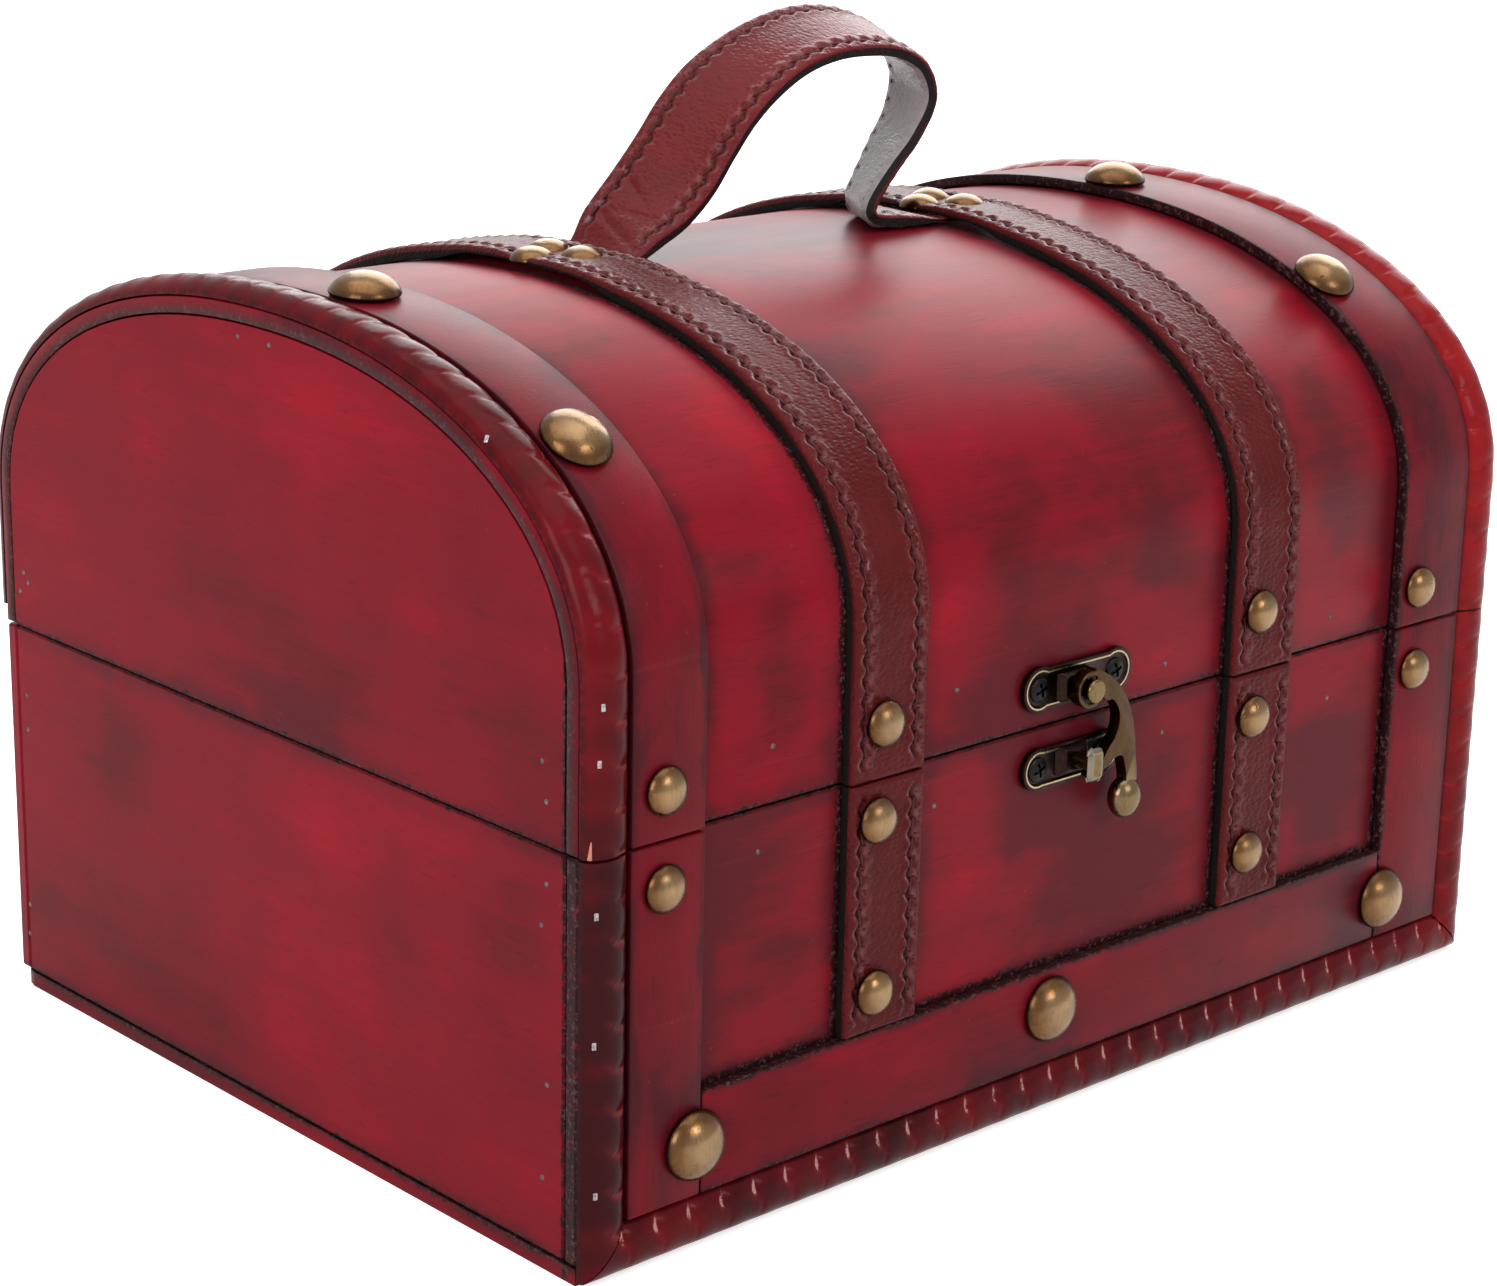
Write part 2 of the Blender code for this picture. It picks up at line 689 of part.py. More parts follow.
def build_handle(leather, lid):
    """Add the loop handle, whose feet lie under the straps and whose right side folds back on itself."""
    half = handle_width / 2
    rows = smooth_route(handle_route_shares, route_steps)
    places = [
        Vector((row[0] * strap_centre - dress_shift, 0.0, foot_middle + row[1] * handle_rise))
        for row in rows
    ]
    rings = []
    for index, (row, place) in enumerate(zip(rows, places)):
        ahead, behind = places[min(index + 1, len(rows) - 1)], places[max(index - 1, 0)]
        along = (ahead - behind).normalized()
        lean, lift, fullness = row[2], row[3], min(max(row[4], 0.0), 1.0)
        across = Vector((lean, math.sqrt(1 - lean ** 2 - lift ** 2), lift))
        out = along.cross(across).normalized()
        thick = handle_foot + fullness * (handle_thickness - handle_foot)
        corners = ((-half, -thick / 2), (half, -thick / 2), (half, thick / 2), (-half, thick / 2))
        rings.append([place + across * side + out * height for side, height in corners])
    handle = add_object("handle", loft_shape(rings), leather, lid)
    shade_round(handle)


def place_nail(name, size, seat, direction, brass, lid):
    """Add one nail, with its dome in proportion, and let the lid carry it when its name says so."""
    rise = large_nail_rise if size == large_nail else medium_nail_rise
    parent = None if name.startswith(("base", "bottom")) else lid
    make_nail(name, size, rise, seat, direction, brass, parent)


def build_nails(brass, lid):
    """Add the domed nails on the bands, the straps and the handle's feet."""
    out = Vector((0.0, -1.0, 0.0))
    on_band = 2 * seat_gap + band_thickness
    on_strap = 2 * seat_gap + strap_thickness
    bottom_middle = (bottom_band_low + bottom_band_high) / 2
    band_ends = (left_band_inner, 0.0, right_band_inner)
    for name, end, (across, up) in zip(("left", "middle", "right"), band_ends, bottom_nail_shares):
        seat = on_front(end + across * large_nail, bottom_middle + up * large_nail, on_band)
        place_nail("bottom_nail_" + name, large_nail, seat, out, brass, lid)
    edges = (left_band_inner, right_band_inner)
    for name, side, edge, shares in zip(("left", "right"), (-1, 1), edges, large_nail_shares):
        for place, (inset, turn_share) in zip(("front", "top"), shares):
            length = length_at_turn(turn_share)
            seat = (edge + side * inset * large_nail, *on_lid(length, on_band))
            label = "lid_nail_" + name + "_" + place
            place_nail(label, large_nail, seat, lid_normal(length), brass, lid)
    for name, side, edge, shares in zip(("left", "right"), (-1, 1), edges, band_nail_shares):
        (lid_inset, lid_away), (base_inset, base_away) = shares
        seat = (edge + side * lid_inset * medium_nail, *on_lid(lid_away * medium_nail, on_band))
        place_nail("lid_band_nail_" + name, medium_nail, seat, out, brass, lid)
        height = base_rim - base_away * medium_nail
        seat = on_front(edge + side * base_inset * medium_nail, height, on_band)
        place_nail("base_band_nail_" + name, medium_nail, seat, out, brass, lid)
    for name, side, shares in zip(("left", "right"), (-1, 1), strap_nail_shares):
        middle = strap_middle(side)
        (lid_across, lid_away), (top_across, top_away), (foot_across, foot_away) = shares
        seat = (middle + lid_across * medium_nail, *on_lid(lid_away * medium_nail, on_strap))
        place_nail("lid_strap_nail_" + name, medium_nail, seat, out, brass, lid)
        seat = on_front(middle + top_across * medium_nail, base_rim - top_away * medium_nail, on_strap)
        place_nail("base_strap_nail_" + name + "_upper", medium_nail, seat, out, brass, lid)
        height = bottom_band_high + foot_away * medium_nail
        seat = on_front(middle + foot_across * medium_nail, height, on_strap)
        place_nail("base_strap_nail_" + name + "_lower", medium_nail, seat, out, brass, lid)
        for number, (along, across) in enumerate(handle_nail_shares, start=1):
            length = lid_path_length / 2 + across * handle_width / 2
            foot_x = middle + along * strap_width / 2
            seat = (foot_x, *on_lid(length, strap_outer(length) + seat_gap))
            label = "handle_nail_" + name + "_" + str(number)
            place_nail(label, medium_nail, seat, lid_normal(length), brass, lid)


def lobed_outline(left_x, right_x, radius, waist, height):
    """Return the outline of a plate with a round lobe at each end and a narrower waist."""
    corner = math.degrees(math.acos(waist / radius))
    points = arc((left_x, height), radius, 90 - corner, 270 + corner, lobe_segments)
    points += arc((right_x, height), radius, 270 - corner, 450 + corner, lobe_segments)
    return points


def make_clasp_plate(name, left, right, radius, height, boss_at, bronze, parent=None):
    """Add a lobed clasp plate with its raised middle and its two screws, as one body."""
    left_x, right_x = -left - dress_shift, right - dress_shift
    outline = lobed_outline(left_x, right_x, radius, clasp_waist, height)
    top = seat_gap + clasp_plate_thickness
    plate = add_object(name, prism_shape(outline, seat_gap, top, on_front), bronze, parent)
    soften(plate, clasp_plate_edge)
    shade_round(plate)
    half_length = (clasp_boss_length - clasp_boss_height) / 2
    boss_x, boss_z = boss_at
    boss_outline = arc((boss_x + half_length, boss_z), clasp_boss_height / 2, -90, 90, lobe_segments)
    boss_outline += arc((boss_x - half_length, boss_z), clasp_boss_height / 2, 90, 270, lobe_segments)
    low = seat_gap + clasp_plate_thickness / 2
    boss_shape = prism_shape(boss_outline, low, top + clasp_boss_rise, on_front)
    boss = add_object(name + "_boss", boss_shape, bronze)
    soften(boss, clasp_boss_rise / 2)
    profile = screw_profile(clasp_screw, clasp_screw_rise, clasp_plate_thickness / 2)
    screws = [
        turned_on(name + "_screw_" + side, profile, on_front(x, height, top), -1, round_segments, bronze)
        for side, x in (("left", left_x), ("right", right_x))
    ]
    return plate, [boss, *screws]


def build_clasp(bronze, brass, lid, hook):
    """Add the swing hook, the plate that it turns on and the keeper whose post it catches."""
    boss_top = seat_gap + clasp_plate_thickness + clasp_boss_rise
    root = clasp_boss_rise / 2
    latch, latch_parts = make_clasp_plate(
        "latch_plate", latch_left_lobe, latch_right_lobe, latch_lobe_radius, latch_z,
        (pivot_x, pivot_z), bronze, lid,
    )
    shaft_top = hook_front - boss_top + rivet_clearance
    head_top = shaft_top + rivet_head_rise
    rivet_profile = [
        (0.0, -root), (rivet_radius, -root), (rivet_radius, shaft_top), (rivet_head_radius, shaft_top),
        (rivet_head_radius, shaft_top + rivet_head_rise / 2),
        (rivet_head_radius * head_flat_share, head_top), (0.0, head_top),
    ]
    rivet = turned_on(
        "latch_rivet", rivet_profile, on_front(pivot_x, pivot_z, boss_top), -1, round_segments, brass,
    )
    join_with(latch, [*latch_parts, rivet])

    keeper, keeper_parts = make_clasp_plate(
        "keeper_plate", keeper_left_lobe, keeper_right_lobe, keeper_lobe_radius, keeper_z,
        (post_x, post_z), bronze,
    )
    shaft_profile = [
        (0.0, -root), (post_radius, -root), (post_radius, shaft_top + post_head_thickness / 2),
        (0.0, shaft_top + post_head_thickness / 2),
    ]
    shaft = turned_on(
        "keeper_post", shaft_profile, on_front(post_x, post_z, boss_top), -1, round_segments, brass,
    )
    half_high = (post_head_height - post_head_width) / 2
    head_outline = arc((post_x, post_z + half_high), post_head_width / 2, 0, 180, lobe_segments)
    head_outline += arc((post_x, post_z - half_high), post_head_width / 2, 180, 360, lobe_segments)
    head_back = boss_top + shaft_top
    head_shape = prism_shape(head_outline, head_back, head_back + post_head_thickness, on_front)
    head = add_object("keeper_head", head_shape, brass)
    soften(head, post_head_edge)
    join_with(keeper, [*keeper_parts, shaft, head])

    build_hook(brass, hook)


def build_hook(brass, hook):
    """Add the swing hook: a hub on the rivet, a curved arm with a claw, and a ball at its tail."""
    pivot = Vector(on_front(pivot_x, pivot_z, 0.0))
    curve = smooth_route(hook_outline_shares, hook_steps, closed=True)
    outline = [(pivot_x + across * hook_length, pivot_z + up * hook_length) for across, up in curve]
    arm = add_object(
        "latch_hook", prism_shape(outline, hook_back, hook_front, on_front), brass, hook, pivot,
    )
    soften(arm, hook_edge)
    hub_profile = [
        (0.0, 0.0), (hook_hub_radius, 0.0), (hook_hub_radius, hook_thickness), (0.0, hook_thickness),
    ]
    hub_place = on_front(pivot_x, pivot_z, hook_back)
    hub = turned_on("hook_hub", hub_profile, hub_place, -1, round_segments, brass)
    soften(hub, hook_edge)
    ball_x, ball_z = hook_ball_share
    half = hook_ball_thickness / 2
    turns = np.linspace(-math.pi / 2, math.pi / 2, ball_steps + 1)[1:-1]
    flanks = [(hook_ball_radius * math.cos(turn), half * math.sin(turn)) for turn in turns]
    ball_profile = [(0.0, -half), *flanks, (0.0, half)]
    middle = hook_back + hook_thickness / 2
    ball_place = on_front(pivot_x + ball_x * hook_length, pivot_z + ball_z * hook_length, middle)
    ball = turned_on("hook_ball", ball_profile, ball_place, -1, round_segments, brass)
    join_with(arm, [hub, ball])
    bore_radius = rivet_radius + rivet_clearance
    reach = hook_thickness + cutter_overrun
    bore_profile = [
        (0.0, -cutter_overrun), (bore_radius, -cutter_overrun), (bore_radius, reach), (0.0, reach),
    ]
    cut_with(arm, turned_on("hook_bore", bore_profile, hub_place, -1, round_segments, brass))


def hinge_leaf_outline(centre, axis_z, side, tongue_low, tongue_high, inside):
    """Return a leaf whose rim edge reaches the barrel in the middle (inside) or at both ends."""
    half = hinge_length / 2
    corner = hinge_leaf_corner
    far = axis_z + side * hinge_leaf_height
    near = axis_z + side * (hinge_barrel_radius + hinge_clearance)
    steps = [(centre - half, near if inside else axis_z)]
    if inside:
        steps += [(tongue_low, near), (tongue_low, axis_z), (tongue_high, axis_z), (tongue_high, near)]
    else:
        steps += [(tongue_low, axis_z), (tongue_low, near), (tongue_high, near), (tongue_high, axis_z)]
    steps.append((centre + half, near if inside else axis_z))
    inner_z = far - side * corner
    right_end, left_end = (90, 180) if side > 0 else (-90, -180)
    steps += arc((centre + half - corner, inner_z), corner, 0, right_end, corner_segments)
    steps += arc((centre - half + corner, inner_z), corner, right_end, left_end, corner_segments)
    return steps


def along_x(shape, centre):
    """Turn a shape made along Z so that it runs along X, and set its middle."""
    turn = Matrix.Rotation(math.pi / 2, 4, "Y")
    bmesh.ops.transform(shape, matrix=Matrix.Translation(Vector(centre)) @ turn, verts=shape.verts)
    return shape


def build_hinges(bronze, lid):
    """Add two butt hinges on the back: the base leaf holds the pin, and the lid leaf turns on it."""
    back, face = seat_gap, seat_gap + hinge_leaf_thickness
    half = hinge_length / 2
    knuckle_half = hinge_length * hinge_knuckle_share / 2
    slot_half = knuckle_half + hinge_clearance
    radius = hinge_barrel_radius
    pin = hinge_pin_radius
    for name, side in (("left", -1), ("right", 1)):
        centre = side * hinge_centre
        barrel_place = (centre, hinge_axis_y, parting_height)
        slot = (centre - slot_half, centre + slot_half)
        outline = hinge_leaf_outline(centre, parting_height, -1, *slot, False)
        leaf = add_object("hinge_base_leaf_" + name, prism_shape(outline, back, face, on_back), bronze)
        profile = [
            (0.0, -half), (radius, -half), (radius, -slot_half), (pin, -slot_half),
            (pin, slot_half), (radius, slot_half), (radius, half), (0.0, half),
        ]
        barrel_shape = along_x(turned_shape(profile, hinge_segments), barrel_place)
        barrel = add_object("base_barrel_" + name, barrel_shape, bronze)
        join_with(leaf, [barrel, *hinge_screws(centre, -1, "base_" + name, bronze)])
        tongue = (centre - knuckle_half, centre + knuckle_half)
        outline = hinge_leaf_outline(centre, parting_height, 1, *tongue, True)
        leaf_shape = prism_shape(outline, back, face, on_back)
        leaf = add_object("hinge_lid_leaf_" + name, leaf_shape, bronze, lid)
        profile = [
            (0.0, -knuckle_half), (radius, -knuckle_half), (radius, knuckle_half), (0.0, knuckle_half),
        ]
        knuckle = add_object(
            "lid_knuckle_" + name, along_x(turned_shape(profile, hinge_segments), barrel_place), bronze,
        )
        join_with(leaf, [knuckle, *hinge_screws(centre, 1, "lid_" + name, bronze)])
        bore = pin + hinge_clearance
        reach = knuckle_half + cutter_overrun
        profile = [(0.0, -reach), (bore, -reach), (bore, reach), (0.0, reach)]
        bore_shape = along_x(turned_shape(profile, hinge_segments), barrel_place)
        cut_with(leaf, add_object("lid_bore_" + name, bore_shape, bronze))


def hinge_screws(centre, side, label, material):
    """Return the two screw heads of a hinge leaf."""
    height = parting_height + side * (hinge_leaf_height + hinge_barrel_radius) / 2
    face = seat_gap + hinge_leaf_thickness
    profile = screw_profile(hinge_screw, hinge_screw_rise, hinge_leaf_thickness / 2)
    screws = []
    for number, x in enumerate((centre - hinge_length / 4, centre + hinge_length / 4)):
        name = "hinge_screw_" + label + "_" + str(number)
        place = on_back(x, height, face)
        screws.append(turned_on(name, profile, place, 1, hinge_segments, material))
    return screws


def main():
    """Build the whole box."""
    clear_scene()
    wood = make_material("red_stained_wood", (0.30, 0.022, 0.035), 0.35)
    bead_wood = make_material("carved_bead_wood", (0.19, 0.020, 0.022), 0.28)
    band_wood = make_material("dark_band_wood", (0.17, 0.018, 0.026), 0.34)
    leather = make_material("brown_red_leather", (0.12, 0.022, 0.022), 0.45)
    brass = make_material("aged_brass", (0.45, 0.32, 0.12), 0.35, 0.9)
    bronze = make_material("dark_bronze", (0.07, 0.045, 0.03), 0.40, 0.85)
    lid = add_pivot("lid_pivot", (0.0, hinge_axis_y, parting_height))
    hook = add_pivot("hook_pivot", on_front(pivot_x, pivot_z, 0.0))
    hook.parent = lid
    hook.matrix_parent_inverse = Matrix.Translation(-lid.location)
    build_base(wood)
    build_lid(wood, lid)
    build_beads(bead_wood, lid)
    build_bands(band_wood, lid)
    build_straps(leather, lid)
    build_handle(leather, lid)
    build_nails(brass, lid)
    build_clasp(bronze, brass, lid, hook)
    build_hinges(bronze, lid)


if __name__ == "__main__":
    main()
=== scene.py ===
import logging
import math
from collections.abc import Callable, Iterator, Mapping, Sequence
from contextlib import contextmanager
from dataclasses import dataclass
from enum import Enum

import bmesh
import bpy
import numpy as np
from mathutils import Euler, Matrix, Vector


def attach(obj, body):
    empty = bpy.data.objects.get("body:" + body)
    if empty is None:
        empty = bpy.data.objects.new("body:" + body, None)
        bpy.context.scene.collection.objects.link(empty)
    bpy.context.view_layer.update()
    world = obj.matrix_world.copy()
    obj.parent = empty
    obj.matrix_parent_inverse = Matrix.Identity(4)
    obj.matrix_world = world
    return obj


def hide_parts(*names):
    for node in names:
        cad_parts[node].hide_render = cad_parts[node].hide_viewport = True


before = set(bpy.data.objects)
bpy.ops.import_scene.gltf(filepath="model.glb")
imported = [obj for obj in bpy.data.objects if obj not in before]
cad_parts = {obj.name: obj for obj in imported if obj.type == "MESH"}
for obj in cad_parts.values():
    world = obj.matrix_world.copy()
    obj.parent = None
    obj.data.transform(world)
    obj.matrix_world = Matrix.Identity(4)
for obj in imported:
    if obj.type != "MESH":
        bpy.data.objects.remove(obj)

logging.basicConfig(level=logging.INFO, format="%(message)s")
log = logging.getLogger("jewelry_box")

Array = np.ndarray
Piece = bpy.types.Object
Socket = bpy.types.NodeSocket
Colour = tuple[float, float, float]
Place = tuple[float, float, float]
Pair = tuple[float, float]

MM = 0.001
SIDES = (("left", -1), ("right", 1))
FRONT = Vector((0.0, -1.0, 0.0))
QUARTER = math.pi / 2
MERGE = 0.0005 * MM


class Body(Enum):
    """The bodies of the box that pieces ride on."""

    BASE = "base"
    LID = "lid"
    HOOK = "hook"


class Kind(Enum):
    """What a selection in edit mode holds."""

    FACES = "FACE"
    EDGES = "EDGE"


class Run(Enum):
    """The direction in which the grain runs, as the turn that lays it along X."""

    WIDTH = (0.0, 0.0, 0.0)
    DEPTH = (0.0, 0.0, QUARTER)
    HEIGHT = (0.0, QUARTER, 0.0)


@dataclass(frozen=True)
class BoxSizes:
    """Sizes of the carcass that every piece is set against."""

    half_width: float = 112.0 * MM
    half_depth: float = 81.3 * MM
    base_rim: float = 70.25 * MM
    parting: float = 70.5 * MM
    lid_rim: float = 70.75 * MM
    spring: float = 95.85 * MM
    crown_rise: float = 45.3 * MM
    crown_fullness: float = 2.15
    skin: float = 2.8 * MM
    gap: float = 0.3 * MM
    back_stop: float = 3.0 * MM
    bead_width: float = 8.5 * MM
    band_outer: float = 103.2 * MM
    left_band_inner: float = -88.3 * MM
    right_band_inner: float = 84.3 * MM
    bottom_band_low: float = 9.2 * MM
    bottom_band_high: float = 26.8 * MM
    band_thickness: float = 2.0 * MM
    dress_shift: float = 2.0 * MM
    strap_centre: float = 47.04 * MM
    strap_width: float = 16.5 * MM
    strap_thickness: float = 2.4 * MM


@dataclass(frozen=True)
class NailPlan:
    """Where the nails sit, mostly as shares of their own width, left before right."""

    large: float = 12.0 * MM
    medium: float = 8.0 * MM
    handle_half: float = 9.4 * MM
    on_lid: tuple = (((0.77, 0.234), (0.77, 0.467)), ((0.40, 0.265), (0.40, 0.486)))
    on_bands: tuple = (((1.08, 1.02), (1.08, 0.89)), ((0.68, 0.91), (0.69, 1.02)))
    on_straps: tuple = (
        ((-0.22, 1.18), (-0.35, 0.77), (-0.30, 0.92)),
        ((-0.29, 1.39), (-0.34, 0.98), (-0.29, 1.22)),
    )
    on_bottom: tuple = ((-0.15, 0.04), (-0.66, 0.13), (0.03, -0.05))
    on_feet: tuple = ((-0.62, 0.10), (0.27, -0.40), (0.24, 0.56))


SIZES = BoxSizes()
NAIL_PLAN = NailPlan()


def strap_middle(side: int) -> float:
    """Return the middle of the left (-1) or right (1) strap across the box."""
    return side * SIZES.strap_centre - SIZES.dress_shift


def on_front(across: float, up: float, out: float) -> Vector:
    """Return the place that lies a distance out from the front face."""
    return Vector((across, -SIZES.half_depth - out, up))


def fade(values: Array) -> Array:
    """Hold values between 0 and 1."""
    return np.clip(values, 0.0, 1.0)


def hump(away: Array, reach: float) -> Array:
    """Return a soft hump that is 1 at no distance and nearly 0 past its reach."""
    return np.exp(-((away / reach) ** 2))


def smooth_line(table: Array, steps: int, closed: bool = False) -> Array:
    """Lay a smooth line through rows of numbers.

    Args:
        table: The rows that it goes through.
        steps: How many places each stretch gets.
        closed: Whether it ends where it begins.

    Returns:
        The rows of the line.
    """
    count = len(table)
    rows = []
    for index in range(count if closed else count - 1):
        spots = [index + shift for shift in (-1, 0, 1, 2)]
        spots = [spot % count if closed else min(max(spot, 0), count - 1) for spot in spots]
        before, near, far, after = table[spots]
        for t in np.arange(steps) / steps:
            square = 2 * before - 5 * near + 4 * far - after
            cube = 3 * near - before - 3 * far + after
            rows.append(0.5 * (2 * near + (far - before) * t + square * t ** 2 + cube * t ** 3))
    return np.array(rows if closed else [*rows, table[-1]])


class Bench:
    """The workbench: the modelling operators, used on one piece at a time."""

    @staticmethod
    def clear() -> None:
        """Leave edit mode and deselect everything."""
        if bpy.context.object is not None and bpy.context.object.mode != "OBJECT":
            bpy.ops.object.mode_set(mode="OBJECT")
        bpy.ops.object.select_all(action="DESELECT")

    @staticmethod
    def take(piece: Piece) -> None:
        """Make a piece the only selected one.

        Args:
            piece: The piece.
        """
        Bench.clear()
        piece.select_set(True)
        bpy.context.view_layer.objects.active = piece

    @staticmethod
    def link(name: str, data: bpy.types.ID) -> Piece:
        """Put new data into the scene.

        Args:
            name: The object's name.
            data: Its mesh, curve, lamp or camera.

        Returns:
            The object that holds it.
        """
        piece = bpy.data.objects.new(name, data)
        bpy.context.scene.collection.objects.link(piece)
        return piece

    @staticmethod
    def named(name: str) -> Piece:
        """Name the primitive that was just added, and settle its place into its mesh.

        Args:
            name: The piece's name.

        Returns:
            The new piece, at the origin.
        """
        piece = bpy.context.object
        piece.name = piece.data.name = name
        bpy.ops.object.transform_apply(location=True, rotation=True, scale=True)
        return piece

    @staticmethod
    def block(name: str, low: Place, high: Place) -> Piece:
        """Add a block.

        Args:
            name: The piece's name.
            low: The lowest corner.
            high: The highest corner.

        Returns:
            The block.
        """
        Bench.clear()
        low, high = Vector(low), Vector(high)
        bpy.ops.mesh.primitive_cube_add(size=1.0, location=(low + high) / 2, scale=high - low)
        return Bench.named(name)

    @staticmethod
    def rod(name: str, radius: float, length: float, middle: Place = (0.0, 0.0, 0.0),
            turn: Place = (0.0, 0.0, 0.0), points: int = 48) -> Piece:
        """Add a cylinder.

        Args:
            name: The piece's name.
            radius: Its radius.
            length: Its length, along Z before it is turned.
            middle: Its middle.
            turn: How it is turned.
            points: How many sides it has.

        Returns:
            The cylinder.
        """
        Bench.clear()
        bpy.ops.mesh.primitive_cylinder_add(
            vertices=points, radius=radius, depth=length, location=middle, rotation=turn,
        )
        return Bench.named(name)

    @staticmethod
    def disc(name: str, radius: float, depth: float, back: Vector, points: int = 48) -> Piece:
        """Add a short cylinder that stands out from the front face, with the middle of its back at a place."""
        return Bench.rod(name, radius, depth, back + FRONT * depth / 2, (QUARTER, 0.0, 0.0), points)

    @staticmethod
    def ball(name: str, segments: int, rings: int, radius: float, middle: Place = (0.0, 0.0, 0.0),
             stretch: Place = (1.0, 1.0, 1.0)) -> Piece:
        """Add a ball.

        Args:
            name: The piece's name.
            segments: How many faces lie around it.
            rings: How many faces lie from pole to pole.
            radius: Its radius.
            middle: Its middle.
            stretch: How it is stretched.

        Returns:
            The ball.
        """
        Bench.clear()
        bpy.ops.mesh.primitive_uv_sphere_add(
            segments=segments, ring_count=rings, radius=radius, location=middle, scale=stretch,
        )
        return Bench.named(name)

    @staticmethod
    @contextmanager
    def editing(piece: Piece, kind: Kind = Kind.FACES, test: Callable[..., bool] = lambda item: True) -> Iterator[None]:
        """Edit a piece with only some faces or edges selected.

        Args:
            piece: The piece.
            kind: Whether faces or edges are selected.
            test: Says of a face or an edge whether it is selected.
        """
        Bench.take(piece)
        bpy.ops.object.mode_set(mode="EDIT")
        bpy.ops.mesh.select_mode(type=kind.value)
        bpy.ops.mesh.select_all(action="DESELECT")
        shape = bmesh.from_edit_mesh(piece.data)
        shape.normal_update()
        for item in shape.faces if kind is Kind.FACES else shape.edges:
            if test(item):
                item.select_set(True)
        bmesh.update_edit_mesh(piece.data)
        yield
        bpy.ops.object.mode_set(mode="OBJECT")

    @staticmethod
    def reach(edge: bmesh.types.BMEdge, axis: int) -> float:
        """Return how far an edge reaches along an axis."""
        return abs((edge.verts[0].co - edge.verts[1].co)[axis])

    @staticmethod
    def faces_front(face: bmesh.types.BMFace) -> bool:
        """Say whether a face points to the front."""
        return face.normal.y < -0.9

    @staticmethod
    def modify(piece: Piece, kind: str, **settings: object) -> None:
        """Add a modifier to a piece and apply it.

        Args:
            piece: The piece.
            kind: The modifier's type.
            settings: The modifier's values.
        """
        Bench.take(piece)
        bpy.ops.object.modifier_add(type=kind)
        modifier = piece.modifiers[-1]
        for key, value in settings.items():
            setattr(modifier, key, value)
        bpy.ops.object.modifier_apply(modifier=modifier.name)

    @staticmethod
    def soften(piece: Piece, width: float, segments: int = 3, degrees: float = 40.0) -> None:
        """Round a piece's edges that are sharper than an angle."""
        Bench.modify(piece, "BEVEL", width=width, segments=segments, limit_method="ANGLE",
                     angle_limit=math.radians(degrees), use_clamp_overlap=True)

    @staticmethod
    def points(piece: Piece) -> Array:
        """Return the places of a piece's vertices, one to a row.

        Args:
            piece: The piece.

        Returns:
            The rows.
        """
        flat = np.empty(len(piece.data.vertices) * 3)
        piece.data.vertices.foreach_get("co", flat)
        return flat.reshape(-1, 3)

    @staticmethod
    def reshape(piece: Piece, move: Callable[[Array], Array]) -> None:
        """Move a piece's points, all at once, as rows."""
        piece.data.vertices.foreach_set("co", move(Bench.points(piece)).ravel())
        piece.data.update()

    @staticmethod
    def clean(piece: Piece) -> None:
        """Merge a piece's doubled points and turn its faces outwards.

        Args:
            piece: The piece.
        """
        with Bench.editing(piece):
            bpy.ops.mesh.remove_doubles(threshold=MERGE)
            bpy.ops.mesh.normals_make_consistent(inside=False)

    @staticmethod
    def smooth(piece: Piece, degrees: float) -> None:
        """Shade a piece smooth, with its real edges kept sharp."""
        Bench.take(piece)
        bpy.ops.object.shade_smooth_by_angle(angle=math.radians(degrees))

    @staticmethod
    def slice_along(piece: Piece, rounds: Sequence[int], shortest: float = 20.0 * MM) -> None:
        """Cut the edges that run along X into many, so that the piece can bend.

        Args:
            piece: The piece.
            rounds: How many cuts each round adds.
            shortest: Edges shorter than this are left whole in the first round.
        """
        span = shortest
        for cuts in rounds:
            with Bench.editing(piece, Kind.EDGES, lambda edge: Bench.reach(edge, 0) > span):
                bpy.ops.mesh.subdivide(number_cuts=cuts)
            span /= cuts + 1

    @staticmethod
    def mark(piece: Piece, name: str, values: Array) -> None:
        """Store one number for each point of a piece, for its finish to read."""
        piece.data.attributes.new(name, "FLOAT", "POINT").data.foreach_set("value", values.astype(np.float32))

    @staticmethod
    def sleeve(
        name: str, along: int, around: int, place: Callable[[Array, Array], tuple[Array, ...]],
        shape: Callable[..., Array], marks: Mapping[str, Callable[..., Array]],
    ) -> Piece:
        """Roll a sheet of faces into a sleeve with closed ends.

        Args:
            name: The piece's name.
            along: How many faces lie along it.
            around: How many faces lie around it.
            place: Turns the shares of the way along and around into places on the section.
            shape: Takes those places and returns the points.
            marks: For each mark's name, takes the same places and returns its values.

        Returns:
            The sleeve.
        """
        Bench.clear()
        bpy.ops.mesh.primitive_grid_add(x_subdivisions=along, y_subdivisions=around, size=1.0)
        piece = Bench.named(name)
        places = place(*(Bench.points(piece)[:, :2] + 0.5).T)
        for mark, value in marks.items():
            Bench.mark(piece, mark, value(*places))
        Bench.reshape(piece, lambda points: shape(*places))
        with Bench.editing(piece):
            bpy.ops.mesh.remove_doubles(threshold=MERGE)
            bpy.ops.mesh.fill_holes(sides=0)
            bpy.ops.mesh.select_all(action="SELECT")
            bpy.ops.mesh.normals_make_consistent(inside=False)
        return piece

    @staticmethod
    def copy(pattern: Piece, name: str, matrix: Matrix) -> Piece:
        """Copy a pattern, with a mesh of its own that is set in its place.

        Args:
            pattern: The piece that is copied.
            name: The copy's name.
            matrix: Where the copy goes.

        Returns:
            The copy.
        """
        mesh = pattern.data.copy()
        mesh.name = name
        mesh.transform(matrix)
        return Bench.link(name, mesh)

